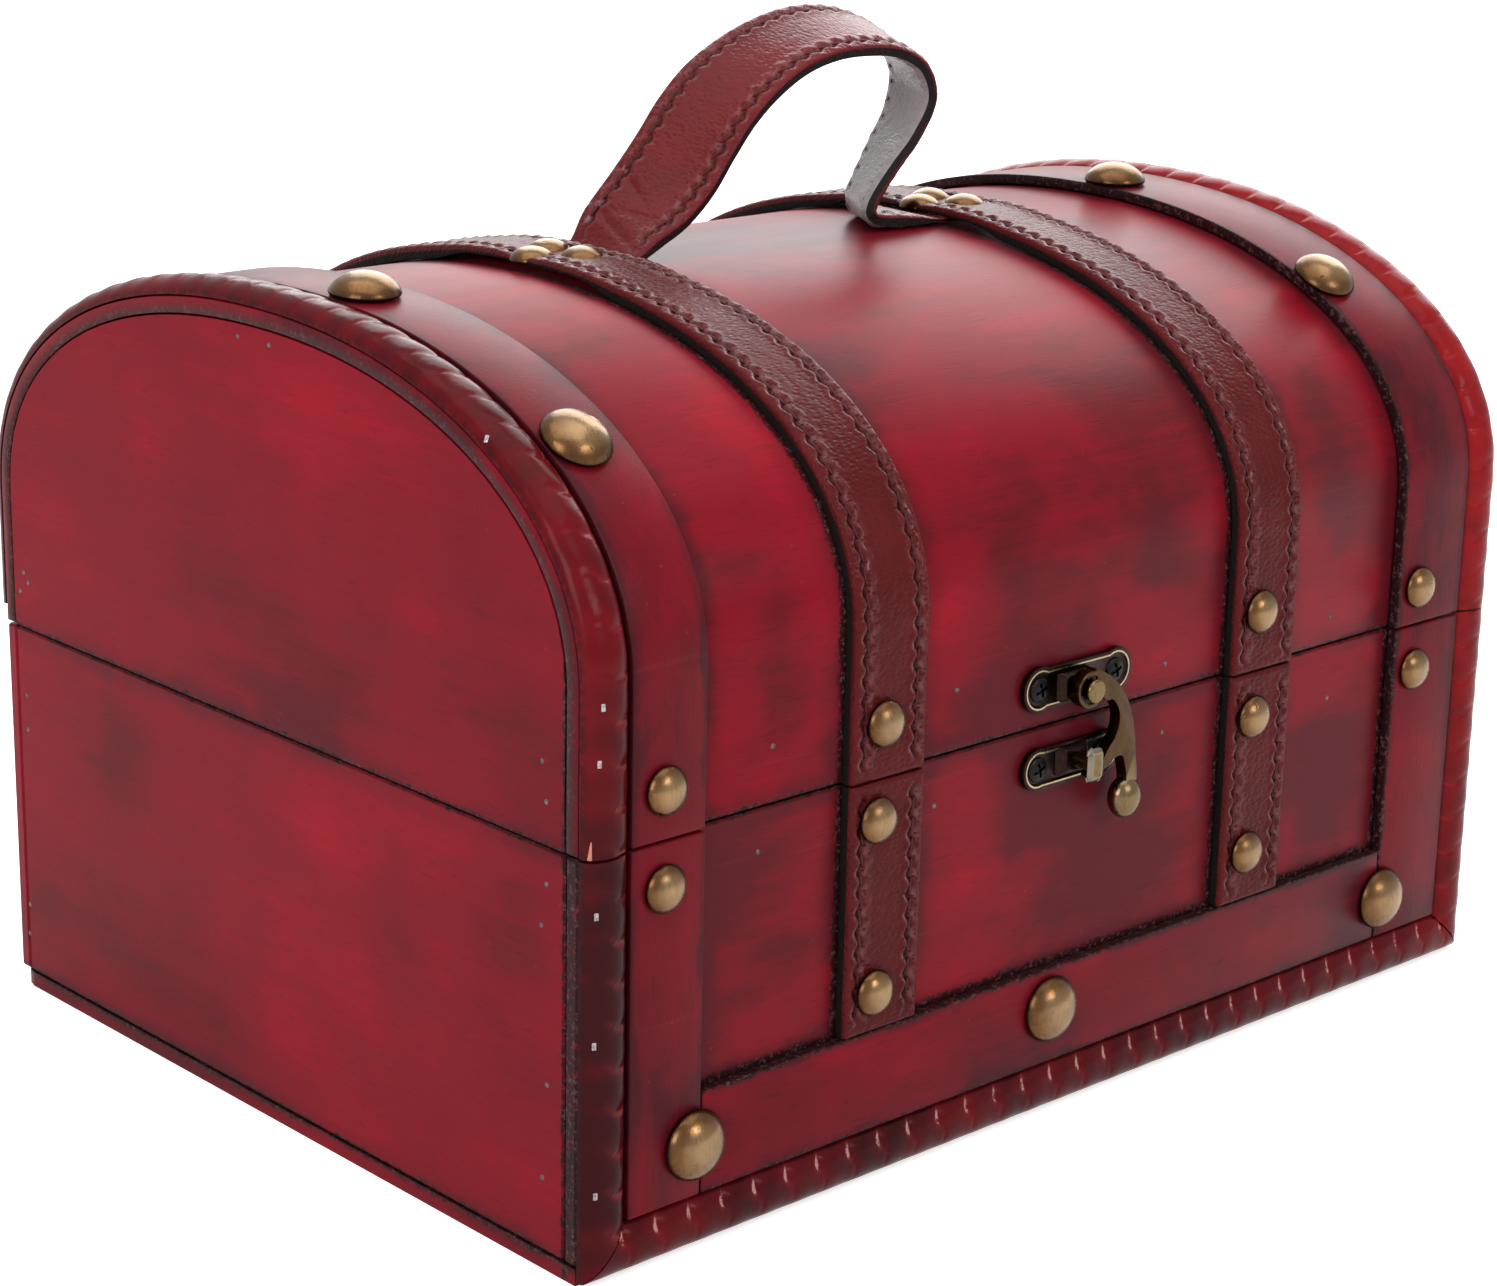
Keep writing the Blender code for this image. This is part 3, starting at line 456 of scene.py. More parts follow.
    @staticmethod
    def scatter(name: str, pattern: Piece, places: Sequence[Matrix]) -> Piece:
        """Repeat a small pattern many times in one mesh.

        Args:
            name: The piece's name.
            pattern: The shape that is repeated.
            places: Where each repeat goes.

        Returns:
            The piece that holds them all.
        """
        points = Bench.points(pattern)
        faces = [tuple(polygon.vertices) for polygon in pattern.data.polygons]
        all_points, all_faces = [], []
        for number, matrix in enumerate(places):
            all_points.append(points @ np.array(matrix.to_3x3()).T + np.array(matrix.translation))
            all_faces += [tuple(number * len(points) + corner for corner in face) for face in faces]
        mesh = bpy.data.meshes.new(name)
        mesh.from_pydata(np.concatenate(all_points).tolist(), [], all_faces)
        piece = Bench.link(name, mesh)
        Bench.take(piece)
        bpy.ops.object.shade_smooth()
        return piece

    @staticmethod
    def fuse(piece: Piece, others: Sequence[Piece], cut: bool = False) -> None:
        """Fuse other shapes into a piece, or cut them out of it, and put them away.

        Args:
            piece: The piece that stays.
            others: The shapes that are used up.
            cut: Whether they are cut out.
        """
        for other in others:
            operation = "DIFFERENCE" if cut else "UNION"
            Bench.modify(piece, "BOOLEAN", operation=operation, object=other, solver="EXACT")
            Bench.put_away(other)

    @staticmethod
    def put_away(piece: Piece) -> None:
        """Remove a guide or a pattern that isn't part of the box."""
        bpy.data.objects.remove(piece, do_unlink=True)


def settle(piece: Piece, body: Body, finish: "Finish", nodes: Sequence[str] = (),
           degrees: float | None = None) -> None:
    """Dress a finished piece, hang it on its body and report it.

    Args:
        piece: The piece.
        body: The body that it moves with.
        finish: Its finish.
        nodes: The plain solids that it stands for.
        degrees: Where it is given, edges sharper than this stay sharp and the rest is shaded smooth.
    """
    if degrees is not None:
        Bench.smooth(piece, degrees)
    piece.data.materials.clear()
    piece.data.materials.append(finish.material())
    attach(piece, body.value)
    if nodes:
        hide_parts(*nodes)
    log.info("%s: %d faces on the %s", piece.name, len(piece.data.polygons), body.value)


def stand_on_front(piece: Piece, across: float = 0.0, up: float = 0.0, out: float = 0.0,
                   order: Sequence[int] = (2, 1, 0)) -> None:
    """Stand a flat piece on the front face, with its height along Y pointing outwards.

    Args:
        piece: The flat piece.
        across: How far it is shifted across.
        up: How far it is shifted up.
        out: How far it is shifted out.
        order: Which of its own axes go across, out and up.
    """
    place = (across, -SIZES.half_depth - out, up)
    Bench.reshape(piece, lambda points: points[:, order] * (1.0, -1.0, 1.0) + place)


class LidPath:
    """The side curve of the lid, from the front rim over the crown to the back rim."""

    def __init__(self, sizes: BoxSizes, samples: int = 1600) -> None:
        """Trace the curve.

        Args:
            sizes: The carcass sizes.
            samples: How many places the crown is read at.
        """
        full = sizes.crown_fullness
        turns = np.linspace(0.0, math.pi, samples)
        cosine, sine = np.cos(turns), np.sin(turns)
        y = -sizes.half_depth * np.sign(cosine) * np.abs(cosine) ** (2 / full)
        z = sizes.crown_rise * np.abs(sine) ** (2 / full)
        slope_y = np.sign(y) * np.abs(y / sizes.half_depth) ** (full - 1) / sizes.half_depth
        slope_z = (z / sizes.crown_rise) ** (full - 1) / sizes.crown_rise
        steep = np.hypot(slope_y, slope_z)
        crown = np.stack([y, sizes.spring + z, slope_y / steep, slope_z / steep], axis=1)
        front = [-sizes.half_depth, sizes.lid_rim, -1.0, 0.0]
        back = [sizes.half_depth, sizes.lid_rim, 1.0, 0.0]
        self.table = np.vstack([front, crown, back])
        steps = np.hypot(np.diff(self.table[:, 0]), np.diff(self.table[:, 1]))
        self.lengths = np.concatenate([[0.0], np.cumsum(steps)])
        self.length = float(self.lengths[-1])

    def spot(self, length: Array | float, out: Array | float = 0.0) -> tuple[Array, Array]:
        """Return y and z at lengths along the curve, lying a distance out from the skin."""
        y, z, normal_y, normal_z = (np.interp(length, self.lengths, column) for column in self.table.T)
        return y + out * normal_y, z + out * normal_z

    def normal(self, length: float) -> Vector:
        """Return the outward direction at a length along the curve."""
        normal_y, normal_z = (float(np.interp(length, self.lengths, column)) for column in self.table.T[2:])
        return Vector((0.0, normal_y, normal_z)).normalized()

    def length_at_turn(self, share: float) -> float:
        """Return the length of a place on the crown, given as a share of the half turn."""
        count = len(self.table) - 2
        return float(np.interp(share * (count - 1), np.arange(count), self.lengths[1:-1]))

    def bend(self, piece: Piece, samples: int = 700) -> None:
        """Bend a piece that was made flat over the lid.

        The flat piece has its length along X, its height out from the skin along Y and its width along Z.

        Args:
            piece: The flat piece.
            samples: How many points the guide has.
        """
        line = bpy.data.curves.new("lid_line", "CURVE")
        line.dimensions = "2D"
        line.use_path = True
        line.use_deform_bounds = False
        spline = line.splines.new("POLY")
        spline.points.add(samples - 1)
        for point, y, z in zip(spline.points, *self.spot(np.linspace(0.0, self.length, samples))):
            point.co = (y, z, 0.0, 1.0)
        guide = Bench.link("lid_line", line)
        Bench.modify(piece, "CURVE", object=guide, deform_axis="POS_X")
        Bench.put_away(guide)
        piece.data.transform(Matrix(((0, 0, 1, 0), (1, 0, 0, 0), (0, 1, 0, 0), (0, 0, 0, 1))))
        piece.data.update()


PATH = LidPath(SIZES)
DRESS_RUN = PATH.length - SIZES.back_stop


class Paint:
    """A node tree being filled: each call adds a node and returns its output."""

    def __init__(self, tree: bpy.types.NodeTree) -> None:
        """Start on a tree."""
        self.tree = tree

    def node(self, kind: str, **settings: object) -> bpy.types.Node:
        """Add a node.

        Args:
            kind: Its type.
            settings: Its properties.

        Returns:
            The node.
        """
        node = self.tree.nodes.new(kind)
        for key, value in settings.items():
            setattr(node, key, value)
        return node

    def feed(self, socket: Socket, value: object) -> None:
        """Link a socket, or set its value.

        Args:
            socket: The input.
            value: An output, a number, a colour or a vector.
        """
        if isinstance(value, Socket):
            self.tree.links.new(value, socket)
        elif socket.type == "RGBA":
            socket.default_value = (*value[:3], 1.0)
        else:
            socket.default_value = value

    def feed_all(self, node: bpy.types.Node, *values: object, **named: object) -> Socket:
        """Feed a node's inputs in their order, or by their names with underscores for spaces.

        Args:
            node: The node.
            values: What its first inputs get.
            named: What its named inputs get.

        Returns:
            Its first output.
        """
        for socket, value in zip(node.inputs, values):
            self.feed(socket, value)
        for name, value in named.items():
            self.feed(node.inputs[name.replace("_", " ")], value)
        return node.outputs[0]

    def math(self, operation: str, *values: object) -> Socket:
        """Add a Math node."""
        return self.feed_all(self.node("ShaderNodeMath", operation=operation), *values)

    def vector(self, operation: str, *values: object) -> Socket:
        """Add a Vector Math node."""
        return self.feed_all(self.node("ShaderNodeVectorMath", operation=operation), *values)

    def chain(self, operation: str, values: Sequence[object]) -> Socket:
        """Join values with Math nodes of one kind.

        Args:
            operation: The kind.
            values: The values, at least two.

        Returns:
            The result.
        """
        result = values[0]
        for value in values[1:]:
            result = self.math(operation, result, value)
        return result

    def plus(self, *values: object) -> Socket:
        """Add values together."""
        return self.chain("ADD", values)

    def times(self, *values: object) -> Socket:
        """Multiply values together."""
        return self.chain("MULTIPLY", values)

    def swing(self, value: object, amount: float) -> Socket:
        """Turn a value around one half into one around none, at an amount."""
        return self.times(self.math("SUBTRACT", value, 0.5), amount)

    def rescale(self, value: object, low: object, high: object, first: float = 0.0, last: float = 1.0) -> Socket:
        """Turn a range of values smoothly into another range."""
        node = self.node("ShaderNodeMapRange", interpolation_type="SMOOTHSTEP")
        return self.feed_all(node, value, low, high, first, last)

    def blend(self, factor: object, first: object, second: object) -> Socket:
        """Mix two colours.

        Args:
            factor: How much there is of the second.
            first: The first colour.
            second: The second colour.

        Returns:
            The mixed colour.
        """
        node = self.node("ShaderNodeMix", data_type="RGBA")
        for number, value in ((0, factor), (6, first), (7, second)):
            self.feed(node.inputs[number], value)
        return node.outputs[2]

    def over(self, colour: object, other: object, *masks: object) -> Socket:
        """Lay another colour over a colour, where all its masks let it."""
        return self.blend(self.times(*masks), colour, other)

    def lay(self, vector: object, scale: Place = (1.0, 1.0, 1.0), shift: Place = (0.0, 0.0, 0.0),
            turn: Place = (0.0, 0.0, 0.0)) -> Socket:
        """Stretch, shift and turn a pattern's place."""
        return self.feed_all(self.node("ShaderNodeMapping"), vector, shift, turn, scale)

    def noise(self, vector: object, scale: object, detail: float = 3.0, roughness: float = 0.55,
              distortion: float = 0.0) -> Socket:
        """Add a noise pattern."""
        return self.feed_all(self.node("ShaderNodeTexNoise"), Vector=vector, Scale=scale, Detail=detail,
                             Roughness=roughness, Distortion=distortion)

    def cells(self, vector: object, scale: object) -> Socket:
        """Add a cell pattern."""
        return self.feed_all(self.node("ShaderNodeTexVoronoi"), Vector=vector, Scale=scale)

    def here(self) -> Socket:
        """Return the place on the object."""
        return self.node("ShaderNodeTexCoord").outputs["Object"]

    def stored(self, name: str) -> Socket:
        """Return a mark that is stored on the mesh."""
        return self.node("ShaderNodeAttribute", attribute_name=name).outputs["Fac"]

    def parts(self, vector: object) -> list[Socket]:
        """Return the three parts of a vector.

        Args:
            vector: The vector.

        Returns:
            Its x, y and z.
        """
        node = self.node("ShaderNodeSeparateXYZ")
        self.feed(node.inputs[0], vector)
        return list(node.outputs)

    def bump(self, height: object, distance: float, strength: float, **named: object) -> Socket:
        """Add a bump and return its normal."""
        node = self.node("ShaderNodeBump")
        return self.feed_all(node, Strength=strength, Distance=distance, Height=height, **named)

    def use(self, effect: "Effect", **named: object) -> Mapping[str, Socket]:
        """Place an effect in this tree.

        Args:
            effect: The effect.
            named: What its inputs get.

        Returns:
            Its outputs.
        """
        node = self.node("ShaderNodeGroup", node_tree=effect.group())
        self.feed_all(node, **named)
        return node.outputs


class Effect:
    """A shared surface effect: a node group that is built once."""

    name = "effect"
    takes: Mapping[str, object] = {}
    gives: Sequence[str] = ()

    def group(self) -> bpy.types.NodeTree:
        """Return the node group, built on first use.

        Returns:
            The group.
        """
        made = bpy.data.node_groups.get(self.name)
        if made is not None:
            return made
        tree = bpy.data.node_groups.new(self.name, "ShaderNodeTree")
        for label, value in self.takes.items():
            kind = "NodeSocketFloat" if isinstance(value, float) else "NodeSocketVector"
            socket = tree.interface.new_socket(name=label, in_out="INPUT", socket_type=kind)
            if value is not None:
                socket.default_value = value
        for label in self.gives:
            tree.interface.new_socket(name=label, in_out="OUTPUT", socket_type="NodeSocketFloat")
        paint = Paint(tree)
        source = paint.node("NodeGroupInput")
        sink = paint.node("NodeGroupOutput")
        for label, value in self.fill(paint, source.outputs).items():
            paint.feed(sink.inputs[label], value)
        return tree

    def fill(self, paint: Paint, given: Mapping[str, Socket]) -> dict[str, Socket]:
        """Build the inside of the group and return what it gives."""
        raise NotImplementedError


class Grain(Effect):
    """Fine wood grain that runs along X: long fibres and short dark pores."""

    name = "wood grain"
    takes = {"Vector": None}
    gives = ("Fibres", "Pores")

    def fill(self, paint: Paint, given: Mapping[str, Socket]) -> dict[str, Socket]:
        """Build long fibres and short pores from stretched noise.

        Args:
            paint: The group's tree.
            given: What it takes.

        Returns:
            What it gives.
        """
        long = paint.lay(given["Vector"], (0.035, 1.0, 1.0))
        wide = paint.noise(long, 260.0, 4.0, 0.6, 0.35)
        fine = paint.noise(long, 1500.0, 2.0, 0.6)
        short = paint.noise(paint.lay(given["Vector"], (0.12, 1.0, 1.0)), 2100.0, 1.0, 0.5)
        fibres = paint.plus(paint.times(wide, 0.55), paint.times(fine, 0.45))
        return {"Fibres": fibres, "Pores": paint.rescale(short, 0.60, 0.74)}


class Mottle(Effect):
    """Smoky patches of stain that was wiped on by hand."""

    name = "stain mottle"
    takes = {"Vector": None, "Size": 1.0, "Seed": 0.0}
    gives = ("Cloud", "Streak")

    def fill(self, paint: Paint, given: Mapping[str, Socket]) -> dict[str, Socket]:
        """Build wide clouds and lengthwise streaks.

        Args:
            paint: The group's tree.
            given: What it takes.

        Returns:
            What it gives.
        """
        shifted = paint.vector("ADD", given["Vector"], given["Seed"])
        scale = paint.math("DIVIDE", 26.0, given["Size"])
        cloud = paint.noise(shifted, scale, 4.0, 0.52, 0.35)
        streak = paint.noise(paint.lay(shifted, (0.30, 1.0, 1.0)), paint.times(scale, 3.6), 4.0, 0.6, 0.3)
        return {"Cloud": paint.rescale(cloud, 0.27, 0.73), "Streak": paint.rescale(streak, 0.25, 0.75)}


class Patch(Effect):
    """One soft round patch at a place on the box."""

    name = "soft patch"
    takes = {"Vector": None, "Centre": (0.0, 0.0, 0.0), "Reach": (0.02, 0.02, 0.02)}
    gives = ("Mask",)

    def fill(self, paint: Paint, given: Mapping[str, Socket]) -> dict[str, Socket]:
        """Fade from one at the centre to none at the reach, with a ragged edge.

        Args:
            paint: The group's tree.
            given: What it takes.

        Returns:
            What it gives.
        """
        share = paint.vector("DIVIDE", paint.vector("SUBTRACT", given["Vector"], given["Centre"]), given["Reach"])
        length = paint.node("ShaderNodeVectorMath", operation="LENGTH")
        paint.feed_all(length, share)
        ragged = paint.swing(paint.noise(given["Vector"], 60.0, 4.0, 0.6, 0.5), 0.4)
        return {"Mask": paint.rescale(paint.plus(length.outputs["Value"], ragged), 1.0, 0.0)}


class Scuffs(Effect):
    """Thin handling scratches and small specks."""

    name = "scuffs"
    takes = {"Vector": None}
    gives = ("Scratches", "Specks")

    def fill(self, paint: Paint, given: Mapping[str, Socket]) -> dict[str, Socket]:
        """Build two families of thin scratches and a few specks.

        Args:
            paint: The group's tree.
            given: What it takes.

        Returns:
            What it gives.
        """
        lines = []
        for turn, shift in ((0.5, 0.0), (-1.1, 3.7)):
            laid = paint.lay(given["Vector"], (0.03, 1.0, 1.0), (shift, 0.0, 0.0), (turn, turn * 0.6, turn))
            lines.append(paint.rescale(paint.noise(laid, 620.0, 1.0, 0.4), 0.735, 0.77))
        specks = paint.rescale(paint.cells(given["Vector"], 210.0), 0.055, 0.03)
        return {"Scratches": paint.math("MAXIMUM", *lines), "Specks": specks}


class Pebble(Effect):
    """Pebbled leather: small cells with fine creases between them."""

    name = "leather pebble"
    takes = {"Vector": None, "Size": 1.0}
    gives = ("Height", "Crease")

    def fill(self, paint: Paint, given: Mapping[str, Socket]) -> dict[str, Socket]:
        """Build cells of two sizes and slow creases.

        Args:
            paint: The group's tree.
            given: What it takes.

        Returns:
            What it gives.
        """
        scale = paint.math("DIVIDE", 1500.0, given["Size"])
        cell = paint.rescale(paint.cells(given["Vector"], scale), 0.0, 0.75)
        small = paint.noise(given["Vector"], paint.times(scale, 1.9), 2.0, 0.5)
        crease = paint.noise(given["Vector"], paint.times(scale, 0.22), 4.0, 0.62, 0.8)
        return {"Height": paint.plus(paint.times(cell, 0.7), paint.times(small, 0.3)), "Crease": crease}


class Patina(Effect):
    """Patches and pits of age on metal."""

    name = "metal patina"
    takes = {"Vector": None, "Size": 1.0}
    gives = ("Cloud", "Brush", "Pits")

    def fill(self, paint: Paint, given: Mapping[str, Socket]) -> dict[str, Socket]:
        """Build clouds, brush lines and pits.

        Args:
            paint: The group's tree.
            given: What it takes.

        Returns:
            What it gives.
        """
        scale = paint.math("DIVIDE", 330.0, given["Size"])
        cloud = paint.rescale(paint.noise(given["Vector"], scale, 5.0, 0.62, 0.4), 0.36, 0.66)
        brushed = paint.lay(given["Vector"], (1.0, 1.0, 0.10), turn=(0.25, 0.35, 0.0))
        brush = paint.noise(brushed, paint.times(scale, 11.0), 2.0, 0.6)
        pits = paint.rescale(paint.noise(given["Vector"], paint.times(scale, 3.1), 2.0, 0.5), 0.67, 0.75)
        return {"Cloud": cloud, "Brush": brush, "Pits": pits}


class Finish:
    """A finish that makes its material once."""

    name: str

    def material(self) -> bpy.types.Material:
        """Return the material, built on first use.

        Returns:
            The material.
        """
        made = bpy.data.materials.get(self.name)
        if made is not None:
            return made
        material = bpy.data.materials.new(self.name)
        material.use_nodes = True
        self.dress(Paint(material.node_tree), material.node_tree.nodes["Principled BSDF"])
        return material

    def dress(self, paint: Paint, shader: bpy.types.Node) -> None:
        """Feed the shader."""
        raise NotImplementedError


@dataclass(frozen=True)
class Spot:
    """A soft patch that makes the wood brighter or darker, as listed among the lights or the shades."""

    centre: Place
    reach: Place
    strength: float


@dataclass(frozen=True)
class StainedWood(Finish):
    """Red stain under a dark glaze and a satin lacquer, with painted shade beside the raised parts and the joints."""

    name: str
    run: Run = Run.WIDTH
    bright: Colour = (0.31, 0.0035, 0.014)
    middle: Colour = (0.185, 0.0045, 0.012)
    dark: Colour = (0.088, 0.0055, 0.010)
    edge_lines: tuple[Pair, ...] = ()
    height_lines: tuple[Pair, ...] = ()
    lights: tuple[Spot, ...] = ()
    shades: tuple[Spot, ...] = ()
    seed: float = 0.0
    size: float = 1.0
    middle_x: float = 0.0
    edge_depth: float = 0.42
    mottle: float = 0.75
    # Lines along x: dark joints, and painted contact shadows beside the straps.
    seams: tuple[Pair, ...] = ()
    level_seams: tuple[Pair, ...] = ()
    depth_seams: tuple[Pair, ...] = ()
    grime: Colour = (0.012, 0.0045, 0.005)
    specular: float = 0.07
    roughness: float = 0.34

    def tone(self, paint: Paint, here: Socket, laid: Socket, fibres: Socket) -> Socket:
        """Work out how bright the stain is.

        Args:
            paint: The material's tree.
            here: The place on the box.
            laid: The place with the grain along X.
            fibres: The grain's fibres.

        Returns:
            The tone, with painted shade beside the dressed edges and in the shaded spots.
        """
        mottle = paint.use(Mottle(), Vector=laid, Size=self.size, Seed=self.seed)
        tone = paint.plus(paint.swing(mottle["Cloud"], self.mottle), paint.swing(mottle["Streak"], 0.35), 0.50)
        for spots, way in ((self.lights, 1.0), (self.shades, -1.0)):
            for spot in spots:
                mask = paint.use(Patch(), Vector=here, Centre=spot.centre, Reach=spot.reach)["Mask"]
                tone = paint.plus(tone, paint.times(mask, way * spot.strength))
        x, _, z = paint.parts(here)
        # Painted shade, along with glaze: darker beside the straps, the bands, the ends, the parting line and the
        # bottom.
        wide = paint.math("ABSOLUTE", paint.math("SUBTRACT", x, self.middle_x))
        ragged = paint.swing(paint.noise(here, 75.0, 4.0, 0.6), 6.0 * MM)
        for lines, along in ((self.edge_lines, wide), (self.height_lines, z)):
            for line, reach in lines:
                away = paint.plus(paint.math("ABSOLUTE", paint.math("SUBTRACT", along, line)), ragged)
                tone = paint.math("SUBTRACT", tone, paint.rescale(away, reach, 0.0, 0.0, self.edge_depth))
        return paint.plus(tone, paint.swing(fibres, 0.65))

    def dirt(self, paint: Paint, here: Socket) -> Socket:
        """Work out where dark glaze has gathered in the joints, and where a contact shadow is painted beside the
        straps.

        Args:
            paint: The material's tree.
            here: The place on the box.

        Returns:
            The mask.
        """
        wander = paint.swing(paint.noise(here, 620.0, 4.0, 0.65, 0.4), 2.8 * MM)
        dirt = paint.times(paint.stored("inner"), 0.9)
        # The lines along x include painted contact shadows beside the straps' left edges.
        for lines, along in zip((self.seams, self.depth_seams, self.level_seams), paint.parts(here)):
            for line, reach in lines:
                away = paint.plus(paint.math("ABSOLUTE", paint.math("SUBTRACT", along, line)), wander)
                dirt = paint.math("MAXIMUM", dirt, paint.rescale(away, reach, reach * 0.35))
        return dirt

    def dress(self, paint: Paint, shader: bpy.types.Node) -> None:
        """Lay the stain, the glaze, the grain and the lacquer.

        Args:
            paint: The material's tree.
            shader: Its shader.
        """
        here = paint.here()
        laid = paint.lay(here, turn=self.run.value)
        grain = paint.use(Grain(), Vector=laid)
        scuffs = paint.use(Scuffs(), Vector=here)
        fibres, pores = grain["Fibres"], grain["Pores"]
        tone = self.tone(paint, here, laid, fibres)
        colour = paint.blend(paint.rescale(tone, 0.0, 0.55), self.dark, self.middle)
        colour = paint.blend(paint.rescale(tone, 0.50, 1.25), colour, self.bright)
        colour = paint.over(colour, tuple(part * 0.45 for part in self.dark), pores, 0.22)
        colour = paint.over(colour, (0.36, 0.11, 0.12), scuffs["Scratches"], 0.03)
        colour = paint.over(colour, (0.40, 0.20, 0.18), scuffs["Specks"], 0.09)
        dirt = self.dirt(paint, here)
        # Dark glaze in the joints, and painted contact shadow beside the straps' left edges.
        colour = paint.over(colour, self.grime, dirt, 0.92)
        flecks = paint.rescale(paint.noise(laid, 1300.0, 3.0, 0.7), 0.52, 0.66)
        paint.feed_all(
            shader, Base_Color=paint.over(colour, (0.15, 0.080, 0.080), dirt, flecks, 0.5),
            Roughness=paint.plus(self.roughness - 0.05, paint.times(fibres, 0.12)),
            Normal=paint.bump(paint.math("SUBTRACT", fibres, paint.times(pores, 0.35)), 0.06 * MM, 0.5),
            Specular_IOR_Level=self.specular,
        )


@dataclass(frozen=True)
class BeadWood(Finish):
    """Carved moulding: dark glaze on the crowns, bare red where the cuts wore through, with painted light, highlights
    and shade.
    """

    name: str = "carved bead wood"
    bright: Colour = (0.26, 0.012, 0.014)
    middle: Colour = (0.125, 0.0045, 0.008)
    dark: Colour = (0.034, 0.003, 0.004)
    warm: Colour = (0.235, 0.0085, 0.0105)
    # Pale crescents in the gouges: a painted highlight that also reads as bare wood.
    worn: Colour = (0.52, 0.27, 0.25)
    glaze: Colour = (0.012, 0.003, 0.003)
    # Painted shade on the bead's flanks, where it meets the skin and the band.
    seam: Colour = (0.012, 0.003, 0.004)

    def dress(self, paint: Paint, shader: bpy.types.Node) -> None:
        """Lay the glaze by the depth of the carving, with painted light, highlights and shade over it.

        Args:
            paint: The material's tree.
            shader: Its shader.
        """
        here = paint.here()
        mottle = paint.use(Mottle(), Vector=here, Size=0.55, Seed=4.0)
        patch = paint.noise(here, 190.0, 4.0, 0.6)
        fine = paint.noise(here, 900.0, 3.0, 0.65)
        x, _, z = paint.parts(here)
        # Painted light from above: the tone rises towards the top of the lid beads; it is raised again low on the
        # bottom bead.
        high = paint.rescale(z, 0.064, 0.092, 0.12, 0.78)
        low = paint.rescale(z, 0.013, 0.007, 0.0, 0.4)
        tone = paint.plus(paint.swing(mottle["Cloud"], 0.7), high, paint.times(paint.stored("middle"), -0.25), low)
        # Painted light: the right-hand beads are made warmer and brighter, more so higher up.
        sunny = paint.times(paint.rescale(x, 0.09, 0.105), paint.rescale(z, 0.010, 0.10, 0.45, 0.95))
        colour = paint.blend(tone, self.dark, self.middle)
        for other, mask, texture, amount in (
            (self.warm, sunny, paint.rescale(patch, 0.20, 0.62, 0.45, 1.0), 1.0),
            (self.bright, paint.stored("lip"), paint.rescale(patch, 0.34, 0.60), 0.6),
            (self.glaze, paint.rescale(paint.stored("cut"), 0.50, 0.9), 1.0, 0.6),
            # Painted highlight in the crescent gouges.
            (self.worn, paint.rescale(paint.stored("crescent"), 0.44, 0.72), paint.rescale(fine, 0.38, 0.52), 0.8),
            # Painted shade on the flanks.
            (self.seam, paint.stored("flank"), paint.rescale(fine, 0.35, 0.6), 0.7),
        ):
            colour = paint.over(colour, other, mask, texture, amount)
        paint.feed_all(shader, Base_Color=colour, Roughness=paint.rescale(patch, 0.2, 0.8, 0.14, 0.30),
                       Normal=paint.bump(patch, 0.30 * MM, 0.45), Specular_IOR_Level=0.06)


@dataclass(frozen=True)
class Leather(Finish):
    """Brown-red leather with a black cut edge."""

    name: str = "strap leather"
    colour: Colour = (0.072, 0.0068, 0.0076)
    # Lighter colour for the creases, and for a painted highlight on the banks beside the rows.
    worn: Colour = (0.150, 0.030, 0.031)
    deep: Colour = (0.022, 0.003, 0.0035)
    edge: Colour = (0.010, 0.007, 0.007)
    lining: Colour = (0.30, 0.27, 0.275)
    shine: float = 0.055
    stretch: Place = (0.65, 1.0, 1.0)

    def dress(self, paint: Paint, shader: bpy.types.Node) -> None:
        """Lay the dye, the pebble, the darker sewn rows, a painted highlight on their banks and the black edge.

        Args:
            paint: The material's tree.
            shader: Its shader.
        """
        here = paint.here()
        pebble = paint.use(Pebble(), Vector=paint.lay(here, self.stretch), Size=1.15)
        height, crease = pebble["Height"], pebble["Crease"]
        cloud = paint.rescale(paint.noise(here, 90.0, 4.0, 0.6), 0.35, 0.68)
        side = paint.stored("side")
        colour = paint.blend(cloud, self.colour, tuple(part * 1.25 for part in self.colour))
        colour = paint.over(colour, self.deep, paint.rescale(height, 0.45, 0.15), 0.30)
        colour = paint.over(colour, self.deep, paint.stored("row"), 0.9)
        colour = paint.over(colour, self.worn, paint.rescale(crease, 0.60, 0.75), 0.25)
        colour = paint.blend(paint.stored("under"), colour, self.lining)
        # Painted highlight: the lighter colour on the raised banks beside the rows.
        ridge = paint.times(paint.stored("ridge"), paint.rescale(height, 0.35, 0.65))
        colour = paint.over(colour, self.worn, ridge, 0.40)
        fine = paint.bump(height, 0.14 * MM, 0.8)
        paint.feed_all(
            shader, Base_Color=paint.blend(side, colour, self.edge),
            Roughness=paint.plus(0.20, paint.times(height, 0.14), paint.times(side, 0.30)),
            Normal=paint.bump(crease, 0.45 * MM, 0.5, Normal=fine),
            Coat_Weight=paint.times(ridge, 0.6), Coat_Roughness=0.22, Specular_IOR_Level=self.shine,
        )


@dataclass(frozen=True)
class Thread(Finish):
    """Waxed brown thread."""

    name: str = "waxed thread"
    colour: Colour = (0.034, 0.007, 0.007)

    def dress(self, paint: Paint, shader: bpy.types.Node) -> None:
        """Lay a twisted strand.

        Args:
            paint: The material's tree.
            shader: Its shader.
        """
        twist = paint.noise(paint.here(), 2600.0, 1.0, 0.5)
        pale = tuple(part * 2.2 for part in self.colour)
        paint.feed_all(
            shader, Base_Color=paint.blend(twist, self.colour, pale), Specular_IOR_Level=0.15,
            Roughness=paint.rescale(twist, 0.2, 0.8, 0.35, 0.55), Normal=paint.bump(twist, 0.12 * MM, 0.6),
        )


